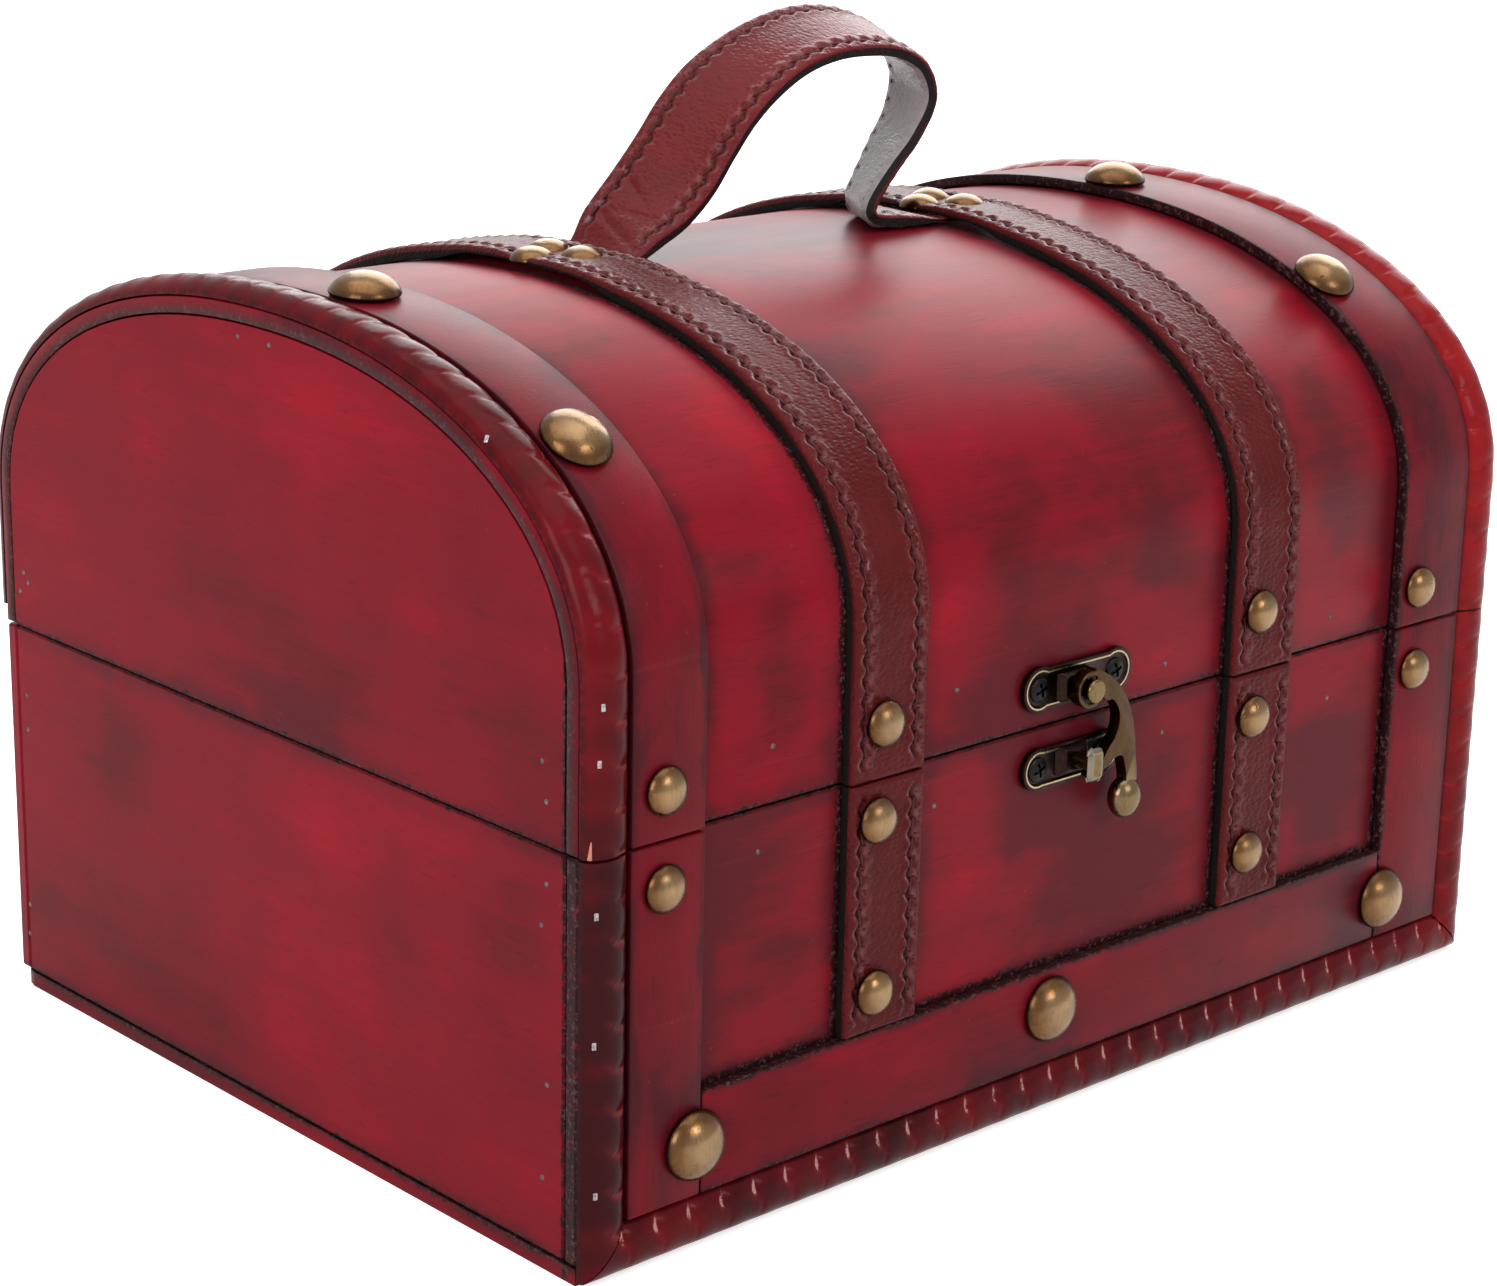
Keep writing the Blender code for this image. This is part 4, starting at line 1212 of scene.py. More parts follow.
@dataclass(frozen=True)
class AgedMetal(Finish):
    """Plated metal that has gone dark in patches and bright on its abraded edges, with painted highlights and painted
    shade.
    """

    name: str
    colour: Colour
    tarnish: Colour
    deep: Colour = (0.035, 0.024, 0.016)
    glint: Colour = (0.72, 0.58, 0.36)
    age: float = 0.55
    wear: float = 0.0
    roughness: float = 0.30
    size: float = 1.0

    def dress(self, paint: Paint, shader: bpy.types.Node) -> None:
        """Lay the metal, its patina, its abraded edges with painted highlights, and the painted shade at its foot.

        Args:
            paint: The material's tree.
            shader: Its shader.
        """
        patina = paint.use(Patina(), Vector=paint.here(), Size=self.size)
        cloud, brush, pits = (patina[label] for label in Patina.gives)
        colour = paint.over(self.colour, self.tarnish, cloud, self.age)
        colour = paint.over(colour, self.tarnish, paint.rescale(brush, 0.35, 0.75), 0.35)
        colour = paint.over(colour, self.deep, pits, 0.6)
        # The glint colour goes on abraded edges, and as a painted highlight on the nail domes' tops and on the hook's
        # edges and ball.
        if self.wear:
            brush_streaks = paint.rescale(brush, 0.25, 0.60, 0.6, 1.0)
            colour = paint.over(colour, self.glint, paint.stored("worn"), self.wear, brush_streaks)
        rough = paint.plus(self.roughness - 0.08, paint.times(brush, 0.16), paint.times(cloud, 0.10))
        # The deep colour over the foot mark is painted shade: low on the nail domes, with patina at their rims, under
        # the rivet's cap and the post's head, and on the hook's sides.
        paint.feed_all(
            shader, Base_Color=paint.over(colour, self.deep, paint.stored("foot"), 0.9), Roughness=rough,
            Normal=paint.bump(paint.math("SUBTRACT", brush, pits), 0.05 * MM, 0.5), Metallic=1.0,
        )


@dataclass(frozen=True)
class CutWood(Finish):
    """Bare cut wood in splinters."""

    name: str = "bare splinters"
    pale: Colour = (0.62, 0.22, 0.14)
    shaded: Colour = (0.31, 0.11, 0.07)

    def dress(self, paint: Paint, shader: bpy.types.Node) -> None:
        """Lay an uneven colour.

        Args:
            paint: The material's tree.
            shader: Its shader.
        """
        patch = paint.noise(paint.here(), 800.0, 3.0, 0.6)
        paint.feed_all(shader, Base_Color=paint.blend(patch, self.pale, self.shaded),
                       Roughness=paint.rescale(patch, 0.2, 0.8, 0.5, 0.7), Normal=paint.bump(patch, 0.2 * MM, 0.5))


def in_mm(*rows: Pair) -> tuple[Pair, ...]:
    """Return the places and reaches of lines that are given in millimetres."""
    return tuple((place * MM, reach * MM) for place, reach in rows)


BAND_LINES = in_mm((38.8, 7.0), (55.3, 6.0), (86.3, 6.0), (112.0, 4.0))
# Painted contact shadows, each along a strap's left edge.
STRAP_SHADOW_LINES = in_mm((-57.3, 1.6), (36.8, 1.6))
LID_WOOD = StainedWood(
    "lid stain", edge_lines=BAND_LINES, middle_x=-SIZES.dress_shift, height_lines=in_mm((70.5, 5.0)),
    seams=STRAP_SHADOW_LINES, level_seams=in_mm((70.8, 0.55)),
    lights=(
        Spot((-0.062, -0.060, 0.127), (0.016, 0.026, 0.022), 0.40),
        Spot((-0.083, -0.081, 0.093), (0.013, 0.030, 0.020), 0.40),
        Spot((-0.033, -0.081, 0.092), (0.017, 0.030, 0.017), 0.50),
        Spot((-0.028, -0.070, 0.120), (0.024, 0.022, 0.016), 0.30),
        Spot((0.066, -0.050, 0.132), (0.012, 0.020, 0.014), 0.20),
    ),
    shades=(
        # Painted shade on the crown under the handle's arch.
        Spot((-0.004, 0.000, 0.141), (0.046, 0.034, 0.030), 0.55),
        # Painted shade around the clasp's latch plate.
        Spot((-0.008, -0.081, 0.076), (0.022, 0.020, 0.010), 0.60),
        Spot((0.066, -0.079, 0.098), (0.018, 0.034, 0.034), 0.40),
        Spot((0.024, -0.079, 0.100), (0.018, 0.034, 0.028), 0.35),
        Spot((0.004, -0.077, 0.108), (0.010, 0.030, 0.012), 0.25),
        Spot((-0.052, -0.020, 0.138), (0.014, 0.034, 0.030), 0.30),
    ),
)
FRONT_WOOD = StainedWood(
    "front stain", edge_lines=BAND_LINES, middle_x=-SIZES.dress_shift, seed=1.7,
    seams=(*STRAP_SHADOW_LINES, *in_mm((-111.9, 0.7), (84.3, 1.3), (-88.3, 0.9))),
    level_seams=in_mm((70.5, 0.5), (26.8, 1.5)), height_lines=in_mm((70.5, 4.0), (26.8, 3.2)),
    lights=(Spot((-0.027, -0.081, 0.050), (0.016, 0.02, 0.018), 0.28),),
    shades=(
        Spot((0.004, -0.081, 0.050), (0.052, 0.02, 0.034), 0.66),
        # Painted shade around the clasp's keeper.
        Spot((-0.010, -0.081, 0.064), (0.018, 0.02, 0.010), 0.45),
        Spot((-0.078, -0.081, 0.044), (0.026, 0.02, 0.040), 0.34),
        Spot((0.068, -0.081, 0.046), (0.018, 0.02, 0.030), 0.35),
    ),
)
BACK_WOOD = StainedWood("back stain", height_lines=in_mm((70.5, 4.0), (3.0, 4.0)), level_seams=in_mm((70.5, 0.5)),
                        seed=2.4, mottle=0.6)
END_WOOD = StainedWood(
    "end stain", run=Run.DEPTH, seed=6.3, size=1.6, mottle=0.58, specular=0.055, roughness=0.44,
    bright=(0.29, 0.0035, 0.014), middle=(0.175, 0.0045, 0.012), height_lines=in_mm((70.5, 5.0), (3.0, 4.0)),
    level_seams=in_mm((70.6, 0.8), (3.0, 1.0)), depth_seams=in_mm((-78.5, 1.1), (80.6, 1.0)),
    lights=(
        Spot((-0.112, 0.034, 0.121), (0.02, 0.050, 0.028), 0.30),
        Spot((-0.112, -0.016, 0.128), (0.02, 0.050, 0.020), 0.25),
        Spot((-0.112, -0.012, 0.056), (0.02, 0.024, 0.010), 0.32),
        Spot((-0.112, 0.013, 0.040), (0.02, 0.012, 0.024), 0.32),
        Spot((-0.112, -0.004, 0.019), (0.02, 0.026, 0.011), 0.30),
    ),
    shades=(
        Spot((-0.112, -0.028, 0.098), (0.02, 0.020, 0.034), 0.16),
        Spot((-0.112, -0.062, 0.095), (0.02, 0.024, 0.040), 0.14),
        Spot((-0.112, -0.006, 0.076), (0.02, 0.040, 0.010), 0.38),
        Spot((-0.112, 0.044, 0.056), (0.02, 0.026, 0.014), 0.30),
        Spot((-0.112, -0.036, 0.042), (0.02, 0.012, 0.024), 0.25),
        Spot((-0.112, -0.064, 0.048), (0.02, 0.018, 0.036), 0.35),
    ),
)
INSIDE_WOOD = StainedWood("inside stain", middle=(0.15, 0.010, 0.016), bright=(0.22, 0.010, 0.018), seed=9.1,
                          specular=0.2, roughness=0.5)
BAND_STAIN = {"bright": (0.21, 0.0045, 0.013), "middle": (0.125, 0.005, 0.011), "dark": (0.055, 0.0055, 0.009)}
LEFT_BAND_WOOD = StainedWood("left band stain", run=Run.HEIGHT, **BAND_STAIN, seed=3.1, size=0.7,
                             edge_lines=in_mm((88.3, 1.6), (103.2, 2.2)))
RIGHT_BAND_WOOD = StainedWood("right band stain", run=Run.HEIGHT, **BAND_STAIN, seed=7.9, size=0.7,
                              seams=in_mm((84.3, 0.7)), edge_lines=in_mm((84.3, 1.6), (103.2, 2.2)))
LOW_BAND_WOOD = StainedWood("low band stain", **BAND_STAIN, seed=5.2, size=0.8,
                            level_seams=in_mm((27.0, 0.9), (9.0, 0.9)), height_lines=in_mm((26.8, 1.6), (9.2, 2.4)))
BEAD_WOOD = BeadWood()
BARE_WOOD = CutWood()
STRAP_LEATHER = Leather()
HANDLE_LEATHER = Leather("handle leather", colour=(0.105, 0.0080, 0.0095), deep=(0.026, 0.003, 0.004), shine=0.11,
                         stretch=(1.0, 0.65, 1.0))
THREAD = Thread()
NAIL_BRASS = AgedMetal(
    "aged brass", colour=(0.165, 0.084, 0.035), tarnish=(0.082, 0.038, 0.017), deep=(0.016, 0.008, 0.005),
    glint=(0.54, 0.41, 0.24), age=0.7, wear=0.8, roughness=0.22, size=1.6,
)
PLATE_BRONZE = AgedMetal(
    "dark bronze", colour=(0.022, 0.011, 0.009), tarnish=(0.011, 0.006, 0.005), deep=(0.006, 0.003, 0.003),
    glint=(0.55, 0.40, 0.24), wear=1.0, roughness=0.26, size=0.8,
)
HOOK_BRASS = AgedMetal(
    "olive brass", colour=(0.068, 0.038, 0.016), tarnish=(0.034, 0.018, 0.008), deep=(0.012, 0.007, 0.004),
    glint=(0.44, 0.33, 0.18), wear=0.8, roughness=0.20, size=1.2,
)
POST_BRASS = AgedMetal(
    "post brass", colour=(0.150, 0.102, 0.042), tarnish=(0.080, 0.052, 0.023), deep=(0.014, 0.007, 0.006),
    glint=(0.17, 0.155, 0.13), wear=1.0, roughness=0.22,
)
SCREW_STEEL = AgedMetal("black screw", colour=(0.016, 0.015, 0.015), tarnish=(0.009, 0.008, 0.008), roughness=0.34)
STAPLE_STEEL = AgedMetal("staple steel", colour=(0.42, 0.40, 0.40), tarnish=(0.12, 0.09, 0.09), roughness=0.36,
                         age=0.8, size=0.2)
BRAD_STEEL = AgedMetal("brad steel", colour=(0.15, 0.135, 0.135), tarnish=(0.05, 0.035, 0.035),
                       deep=(0.015, 0.01, 0.01), roughness=0.42, age=1.0, size=0.25)


@dataclass
class Carcass:
    """The plywood box and its lid skin."""

    edge: float = 0.25 * MM
    slices: tuple[int, int] = (59, 3)

    def skin(self) -> Piece:
        """Bend the smooth lid skin, with a mark on its inner edge.

        Returns:
            The skin.
        """
        low = (0.0, -SIZES.skin, -SIZES.half_width)
        piece = Bench.block("lid_skin", low, (PATH.length, 0.0, SIZES.half_width))
        Bench.soften(piece, self.edge, 2)
        Bench.slice_along(piece, self.slices)
        Bench.mark(piece, "inner", fade(-Bench.points(piece)[:, 1] / SIZES.skin * 1.7 - 0.55))
        PATH.bend(piece)
        Bench.clean(piece)
        return piece

    def build(self) -> None:
        """Add the skin, and dress the boards that stay as they are."""
        settle(self.skin(), Body.LID, LID_WOOD, ["lid_shell"], 30.0)
        for finish, names in (
            (FRONT_WOOD, ("base_front_panel",)),
            (BACK_WOOD, ("base_back_panel",)),
            (END_WOOD, ("base_end_left", "base_end_right", "lid_end_left", "lid_end_right", "bottom_board")),
            (INSIDE_WOOD, ("base_rail_front", "base_rail_back", "floor_rail_front", "floor_rail_back",
                           "lid_rail_front", "lid_rail_back", "lid_ridge_rail")),
        ):
            for name in names:
                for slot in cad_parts[name].material_slots:
                    slot.material = finish.material()
                log.info("%s: dressed", name)


@dataclass
class Beads:
    """The scalloped mouldings over the lid, up the front corners and along the bottom.

    A place on a bead is given by side, the share of the way from its middle to the inner flank (1) or the
    outer one (-1), and by away, the distance along it from the middle of the nearest scallop.
    """

    width: float = SIZES.bead_width
    rise: float = 3.1 * MM
    pitch: float = 6.9 * MM
    foot: float = 0.4 * MM
    across: int = 18
    under: int = 4
    per_pitch: int = 18
    cut_depth: float = 0.30 * MM
    cut_width: float = 0.26 * MM
    gouge_depth: float = 0.55 * MM
    gouge_width: float = 2.2 * MM
    bow: float = 1.3 * MM
    swell: float = 0.16 * MM
    lid_share: float = 0.8

    def past(self, side: Array, away: Array) -> Array:
        """Return how far a place lies past the last cut, which bows over the crown."""
        bend = self.bow * np.clip(np.abs(side - 0.5) / 0.5, 0.0, 1.15) ** 2
        return np.mod(away + self.pitch / 2 - bend, self.pitch)

    def near(self, side: Array, away: Array) -> Array:
        """Return how far a place lies from the nearest cut."""
        past = self.past(side, away)
        return np.minimum(past, self.pitch - past)

    def carve(self, side: Array, away: Array) -> Array:
        """Return how deep the cuts go.

        Args:
            side: The place across.
            away: The place along.

        Returns:
            The depths: a thin bowed cut, with a dish scooped out behind it near the inner flank.
        """
        line = self.cut_depth * hump(self.near(side, away), self.cut_width) * fade(side * 1.4 + 1.1)
        past = self.past(side, away)
        slope = fade(1.0 - past / self.gouge_width) ** 1.6
        wall = fade((past - 0.02 * MM) / (0.16 * MM))
        return np.maximum(line, self.gouge_depth * slope * wall * hump(side - 0.50, 0.30))

    def run(self, name: str, length: float, start: float, flip: float, deep: float) -> Piece:
        """Make a straight bead, with its length along X, its height along Y and its width along Z.

        Args:
            name: The piece's name.
            length: How long the bead is.
            start: Where it begins on X.
            flip: 1 where the inner flank lies towards +Z, and -1 where it lies towards -Z.
            deep: How deep the carving goes, as a share of the deepest.

        Returns:
            The bead.
        """
        units = max(1, round(length / self.pitch))
        around = self.across + self.under

        def place(share: Array, turn: Array) -> tuple[Array, ...]:
            """Return the side, the share up, the length along and the distance from a scallop's middle."""
            step = np.round(turn * around) % around
            crown, below = math.pi * fade(step / self.across), fade((step - self.across) / self.under)
            side = np.where(step <= self.across, -np.cos(crown), 1.0 - 2.0 * below)
            up = np.where(step <= self.across, np.sin(crown) ** 0.85, 0.0)
            return side, up, share * length, (share * units % 1.0 - 0.5) * length / units

        def shape(side: Array, up: Array, along: Array, away: Array) -> Array:
            """Return the points."""
            puff = self.swell * np.cos(math.pi * away / self.pitch) ** 2
            out = up * (self.rise - self.swell + puff) - deep * self.carve(side, away) * fade(up * 1.6)
            return np.stack([start + along, np.maximum(out, 0.0), flip * side * self.width / 2], axis=1)

        marks = {
            "cut": lambda side, up, _, away: deep * self.carve(side, away) / self.gouge_depth * (up > 0.05),
            "lip": lambda side, up, _, away: hump(self.near(side, away), 0.34 * MM) * fade(side * 1.6 + 0.6)
            * (side < 0.93) * (up > 0.05),
            "middle": lambda side, up, _, away: np.sin(math.pi * self.past(side, away) / self.pitch) ** 2 * (up > 0.05),
            # Where the painted shade lies on the flanks.
            "flank": lambda side, up, _, away: fade((np.abs(side) - 0.93) / 0.07),
            # Where the painted highlight lies in the gouges.
            "crescent": lambda side, up, _, away: deep ** 3 * hump(self.near(side, away), 0.55 * MM)
            * hump(side - 0.50, 0.40),
        }
        return Bench.sleeve(name, units * self.per_pitch, around, place, shape, marks)

    def mitre(self, piece: Piece, side: int, up: float, way: Vector) -> None:
        """Cut a bead's end along a plane through a bottom corner, and close it.

        Args:
            piece: The bead.
            side: The left (-1) or the right (1) corner.
            up: The plane's height at the corner.
            way: The way that is cut off.
        """
        point = on_front(side * SIZES.half_width, up, 0.0)
        with Bench.editing(piece):
            bpy.ops.mesh.bisect(plane_co=point, plane_no=way.normalized(), use_fill=True, clear_outer=True)

    def finish(self, piece: Piece, body: Body, node: str) -> None:
        """Clean and settle a bead."""
        Bench.clean(piece)
        settle(piece, body, BEAD_WOOD, [node], 60.0)

    def build(self) -> None:
        """Add the five mouldings."""
        centre = SIZES.half_width - self.width / 2
        mitre_gap = SIZES.gap / 2 * math.sqrt(2)
        for label, side in SIDES:
            piece = self.run("bead_over_lid_" + label, DRESS_RUN, 0.0, -side, self.lid_share)
            Bench.reshape(piece, lambda points: points + (0.0, SIZES.gap, side * centre))
            PATH.bend(piece)
            self.finish(piece, Body.LID, "lid_bead_" + label)
        for label, side in SIDES:
            height = SIZES.base_rim - self.foot
            piece = self.run("bead_up_corner_" + label, height, self.foot, -side, self.lid_share)
            stand_on_front(piece, across=side * centre, out=SIZES.gap)
            self.mitre(piece, side, self.foot + mitre_gap, Vector((-side, 0.0, -1.0)))
            self.finish(piece, Body.BASE, "corner_bead_" + label)
        piece = self.run("bead_along_bottom", 2 * SIZES.half_width, -SIZES.half_width, 1.0, 1.0)
        stand_on_front(piece, up=self.foot + self.width / 2, out=SIZES.gap, order=(0, 1, 2))
        for _, side in SIDES:
            self.mitre(piece, side, self.foot - mitre_gap, Vector((side, 0.0, 1.0)))
        self.finish(piece, Body.BASE, "bottom_bead")


@dataclass
class Bands:
    """The flat bands over the lid, up the front and along the bottom."""

    edge: float = 0.35 * MM
    slices: tuple[int, int] = (59, 2)

    def build(self) -> None:
        """Add the five bands."""
        near, far = SIZES.gap, SIZES.gap + SIZES.band_thickness
        for label, low, high, finish in (
            ("left", -SIZES.band_outer, SIZES.left_band_inner, LEFT_BAND_WOOD),
            ("right", SIZES.right_band_inner, SIZES.band_outer, RIGHT_BAND_WOOD),
        ):
            piece = Bench.block("band_over_lid_" + label, (0.0, near, low), (DRESS_RUN, far, high))
            Bench.soften(piece, self.edge)
            Bench.slice_along(piece, self.slices)
            PATH.bend(piece)
            Bench.clean(piece)
            settle(piece, Body.LID, finish, ["lid_band_" + label], 30.0)
            corner = on_front(low, SIZES.bottom_band_low, far)
            piece = Bench.block("band_up_" + label, corner, on_front(high, SIZES.base_rim, near))
            Bench.soften(piece, self.edge)
            settle(piece, Body.BASE, finish, ["base_band_" + label], 30.0)
        corner = on_front(SIZES.left_band_inner + SIZES.gap, SIZES.bottom_band_low, far)
        other = on_front(SIZES.right_band_inner - SIZES.gap, SIZES.bottom_band_high, near)
        piece = Bench.block("band_along_bottom", corner, other)
        Bench.soften(piece, self.edge)
        settle(piece, Body.BASE, LOW_BAND_WOOD, ["bottom_band"], 30.0)


@dataclass(frozen=True)
class LeatherCut:
    """How a strip of leather is cut, rounded and sewn along both edges.

    A place on the strip is given by across, the share of its half width from -1 to 1, by up, the share of
    its thickness, and by along, a length.
    """

    width: float = SIZES.strap_width
    lined: bool = False
    shoulder: float = 0.75 * MM
    row_inset: float = 2.55 * MM
    row_width: float = 0.58 * MM
    row_depth: float = 0.80 * MM
    ridge: float = 0.30 * MM
    sway: float = 0.34 * MM
    pitch: float = 3.5 * MM
    step: float = 0.42 * MM
    tilt: float = 0.16

    def ring(self) -> tuple[Array, Array]:
        """Return the outline of the section.

        Returns:
            Its shares across and its shares up.
        """
        edge = 1.0 - np.array([0.0, 0.10, 0.26, 0.48, 0.75, 1.1]) * MM / (self.width / 2)
        inner = np.linspace(edge[-1], -edge[-1], 35)[1:-1]
        top = np.concatenate([edge, inner, -edge[::-1]])
        side = np.linspace(0.0, 1.0, 6)[1:-1]
        bottom = np.linspace(-1.0, 1.0, 13)
        across = np.concatenate([bottom, np.full(4, 1.0), top, np.full(4, -1.0)])
        up = np.concatenate([np.zeros(13), side, np.ones(len(top)), side[::-1]])
        return across, up

    def inset(self, side: Array | float, along: Array | float) -> Array:
        """Return how far the left or right row lies from its edge, which sways from stitch to stitch."""
        return self.row_inset + self.sway * np.sin(2 * math.pi * along / self.pitch + side * 0.8)

    def row_distance(self, across: Array, along: Array) -> Array:
        """Return how far a place lies from the nearest sewn row."""
        return (1.0 - np.abs(across)) * self.width / 2 - self.inset(np.sign(across), along)

    def beat(self, along: Array) -> Array:
        """Return 1 at the holes and 0 halfway between them."""
        return 0.5 + 0.5 * np.cos(2 * math.pi * along / self.pitch)

    def relief(self, across: Array, along: Array, sewn: Array) -> Array:
        """Return how the face rises or sinks.

        Args:
            across: The places across.
            along: The places along.
            sewn: How strongly the rows are sewn there, from 0 to 1.

        Returns:
            The rise of the face.
        """
        away = self.row_distance(across, along)
        hole = self.beat(along)
        groove = -(0.40 + 0.60 * hole) * self.row_depth * hump(away, self.row_width)
        banks = hump(away - 1.25 * MM, 0.55 * MM) + 0.8 * hump(away + 1.2 * MM, 0.5 * MM)
        inside = fade(1.0 - (1.0 - np.abs(across)) * self.width / 2 / self.shoulder)
        shoulder = -self.shoulder * (1.0 - np.sqrt(1.0 - inside ** 2))
        return sewn * (groove + self.ridge * (1.15 - 0.75 * hole) * banks) + shoulder

    def sleeve(self, name: str, start: float, end: float, sewn: Callable[[Array], Array],
               shape: Callable[..., Array]) -> Piece:
        """Make the strip, with marks on its sewn rows, their banks, its cut sides and its lining.

        Args:
            name: The piece's name.
            start: The length at which it begins.
            end: The length at which it ends.
            sewn: How strongly the rows are sewn at a length, from 0 to 1.
            shape: Takes across, up and along, and returns the points.

        Returns:
            The strip.
        """
        ring_across, ring_up = self.ring()
        around = len(ring_up)

        def place(share: Array, turn: Array) -> tuple[Array, ...]:
            """Return the places across, up and along."""
            step = np.round(turn * around).astype(int) % around
            return ring_across[step], ring_up[step], start + share * (end - start)

        def row(across: Array, up: Array, along: Array) -> Array:
            """Mark the dark rows."""
            dark = hump(self.row_distance(across, along), 0.45 * MM) * (0.35 + 0.65 * self.beat(along))
            return dark * sewn(along) * (up >= 1.0)

        def ridge(across: Array, up: Array, along: Array) -> Array:
            """Mark the raised leather beside the rows."""
            bank = hump(np.abs(self.row_distance(across, along)) - 0.95 * MM, 0.42 * MM)
            return (0.2 + 0.8 * self.beat(along)) * bank * sewn(along) * (up >= 1.0)

        def side(across: Array, up: Array, along: Array) -> Array:
            """Mark the cut sides."""
            return ((up < 1.0) & (up > 0.0 if self.lined else np.abs(across) >= 0.999)).astype(float)

        def under(across: Array, up: Array, along: Array) -> Array:
            """Mark the lining."""
            return (up <= 0.0) * float(self.lined)

        marks = {"row": row, "ridge": ridge, "side": side, "under": under}
        return Bench.sleeve(name, round((end - start) / self.step), around, place, shape, marks)

    @staticmethod
    def stitch() -> Piece:
        """Make one stitch, with its length along X.

        Returns:
            The pattern.
        """
        piece = Bench.ball("stitch", 8, 6, 1.0)
        Bench.reshape(piece, lambda points: points[:, (2, 1, 0)] * (1.25 * MM, 0.24 * MM, 0.30 * MM))
        return piece


@dataclass
class Straps:
    """The four leather straps and their sewing.

    Each is made flat, with its length along X, its height along Y and its width along Z. The lift over the
    handle's foot lies near the crown, so the short straps on the front have none.
    """

    cut: LeatherCut = LeatherCut()
    over_foot: float = 1.4 * MM
    foot_half: float = NAIL_PLAN.handle_half
    foot: float = 0.8 * MM
    shallow: float = 0.4 * MM
    deep: float = 1.0 * MM
    dent_length: float = 5.2 * MM
    dent_share: float = 0.62
    end_round: float = 0.35 * MM
    side_bulge: float = 0.06 * MM
    sewn_stop: float = 2.2 * MM

    def cover(self, along: Array) -> Array:
        """Return how far the strap is lifted over the handle's foot, from 0 to 1."""
        step = PATH.length / 48
        share = fade(1.0 - (np.abs(along - PATH.length / 2) - self.foot_half - step) / (2 * step))
        return share * share * (3 - 2 * share)

    def inner(self, along: Array) -> Array:
        """Return the gap under a strap."""
        drop = float(PATH.spot(PATH.length / 2)[1] - PATH.spot(PATH.length / 2 + self.foot_half)[1])
        return SIZES.gap + self.cover(along) * (self.foot + SIZES.gap + drop)

    def outer(self, along: Array) -> Array:
        """Return the height of a strap's face."""
        thinned = self.cover(along) * (self.over_foot - SIZES.strap_thickness)
        return self.inner(along) + SIZES.strap_thickness + thinned

    def strip(self, name: str, start: float, end: float, centre: float, dents: Sequence[Place]) -> Piece:
        """Make a flat strap.

        Args:
            name: The piece's name.
            start: Where it begins.
            end: Where it ends.
            centre: The middle of its width on Z.
            dents: Lengths and shares across where a nail pulls the leather down, and how far.

        Returns:
            The strap.
        """
        def from_end(along: Array) -> Array:
            """Return the distance from the nearer end."""
            return np.minimum(along - start, end - along)

        def sewn(along: Array) -> Array:
            """Return how strongly the rows are sewn."""
            return fade((from_end(along) - 1.5 * MM) / (1.0 * MM))

        def shape(across: Array, up: Array, along: Array) -> Array:
            """Return the points."""
            rise = self.cut.relief(across, along, sewn(along))
            for place, dent_across, pull in dents:
                gone = ((along - place) / self.dent_length) ** 2 + ((across - dent_across) / self.dent_share) ** 2
                rise = rise - pull * np.exp(-gone * 1.6)
            near, far = self.inner(along), self.outer(along)
            end_drop = self.end_round * fade(1.0 - from_end(along) / (0.5 * MM)) ** 2
            height = np.where(up >= 1.0, far + rise - end_drop, near + up * (far + rise.min() * 0.5 - near))
            bulge = np.where((up > 0) & (up < 1), self.side_bulge, 0.0)
            width = centre + across * self.cut.width / 2 + np.sign(across) * bulge
            return np.stack([along, height, width], axis=1)

        return self.cut.sleeve(name, start, end, sewn, shape)

    def sew(self, name: str, start: float, end: float, centre: float) -> Piece:
        """Sew both rows of a flat strap.

        Args:
            name: The piece's name.
            start: Where the strap begins.
            end: Where it ends.
            centre: The middle of its width on Z.

        Returns:
            The stitches, in one mesh.
        """
        cut = self.cut
        places = []
        first = math.ceil((start + self.sewn_stop) / cut.pitch)
        for number in range(first, math.floor((end - self.sewn_stop) / cut.pitch)):
            along = (number + 0.5) * cut.pitch
            up = float(self.outer(np.array([along]))[0]) - cut.row_depth * 0.42
            for _, side in SIDES:
                across = centre + side * (cut.width / 2 - cut.inset(side, along))
                turn = Matrix.Rotation(-side * cut.tilt, 4, "Y")
                places.append(Matrix.Translation((along, up, across)) @ turn)
        pattern = cut.stitch()
        piece = Bench.scatter(name, pattern, places)
        Bench.put_away(pattern)
        return piece

    def build(self) -> None:
        """Add the straps over the lid and down the front, with their stitches."""
        medium, half = NAIL_PLAN.medium, self.cut.width / 2
        low = SIZES.bottom_band_high + SIZES.gap
        for (label, side), nails in zip(SIDES, NAIL_PLAN.on_straps):
            centre = strap_middle(side)
            (lid_across, lid_away), (top_across, top_away), (foot_across, foot_away) = nails
            feet = [(PATH.length / 2 + share * self.foot_half, along, self.deep) for along, share in NAIL_PLAN.on_feet]
            on_lid = [(lid_away * medium, lid_across * medium / half, self.shallow), *feet]
            on_base = [
                (SIZES.base_rim - top_away * medium, top_across * medium / half, self.shallow),
                (SIZES.bottom_band_high + foot_away * medium, foot_across * medium / half, self.shallow),
            ]
            for body, way, start, end, dents, lay, sewn_degrees in (
                (Body.LID, "over_lid_", 0.0, DRESS_RUN, on_lid, PATH.bend, None),
                (Body.BASE, "down_front_", low, SIZES.base_rim, on_base, stand_on_front, 50.0),
            ):
                piece = self.strip("strap_" + way + label, start, end, centre, dents)
                lay(piece)
                settle(piece, body, STRAP_LEATHER, [body.value + "_strap_" + label], 50.0)
                piece = self.sew("stitches_" + way + label, start, end, centre)
                lay(piece)
                settle(piece, body, THREAD, degrees=sewn_degrees)


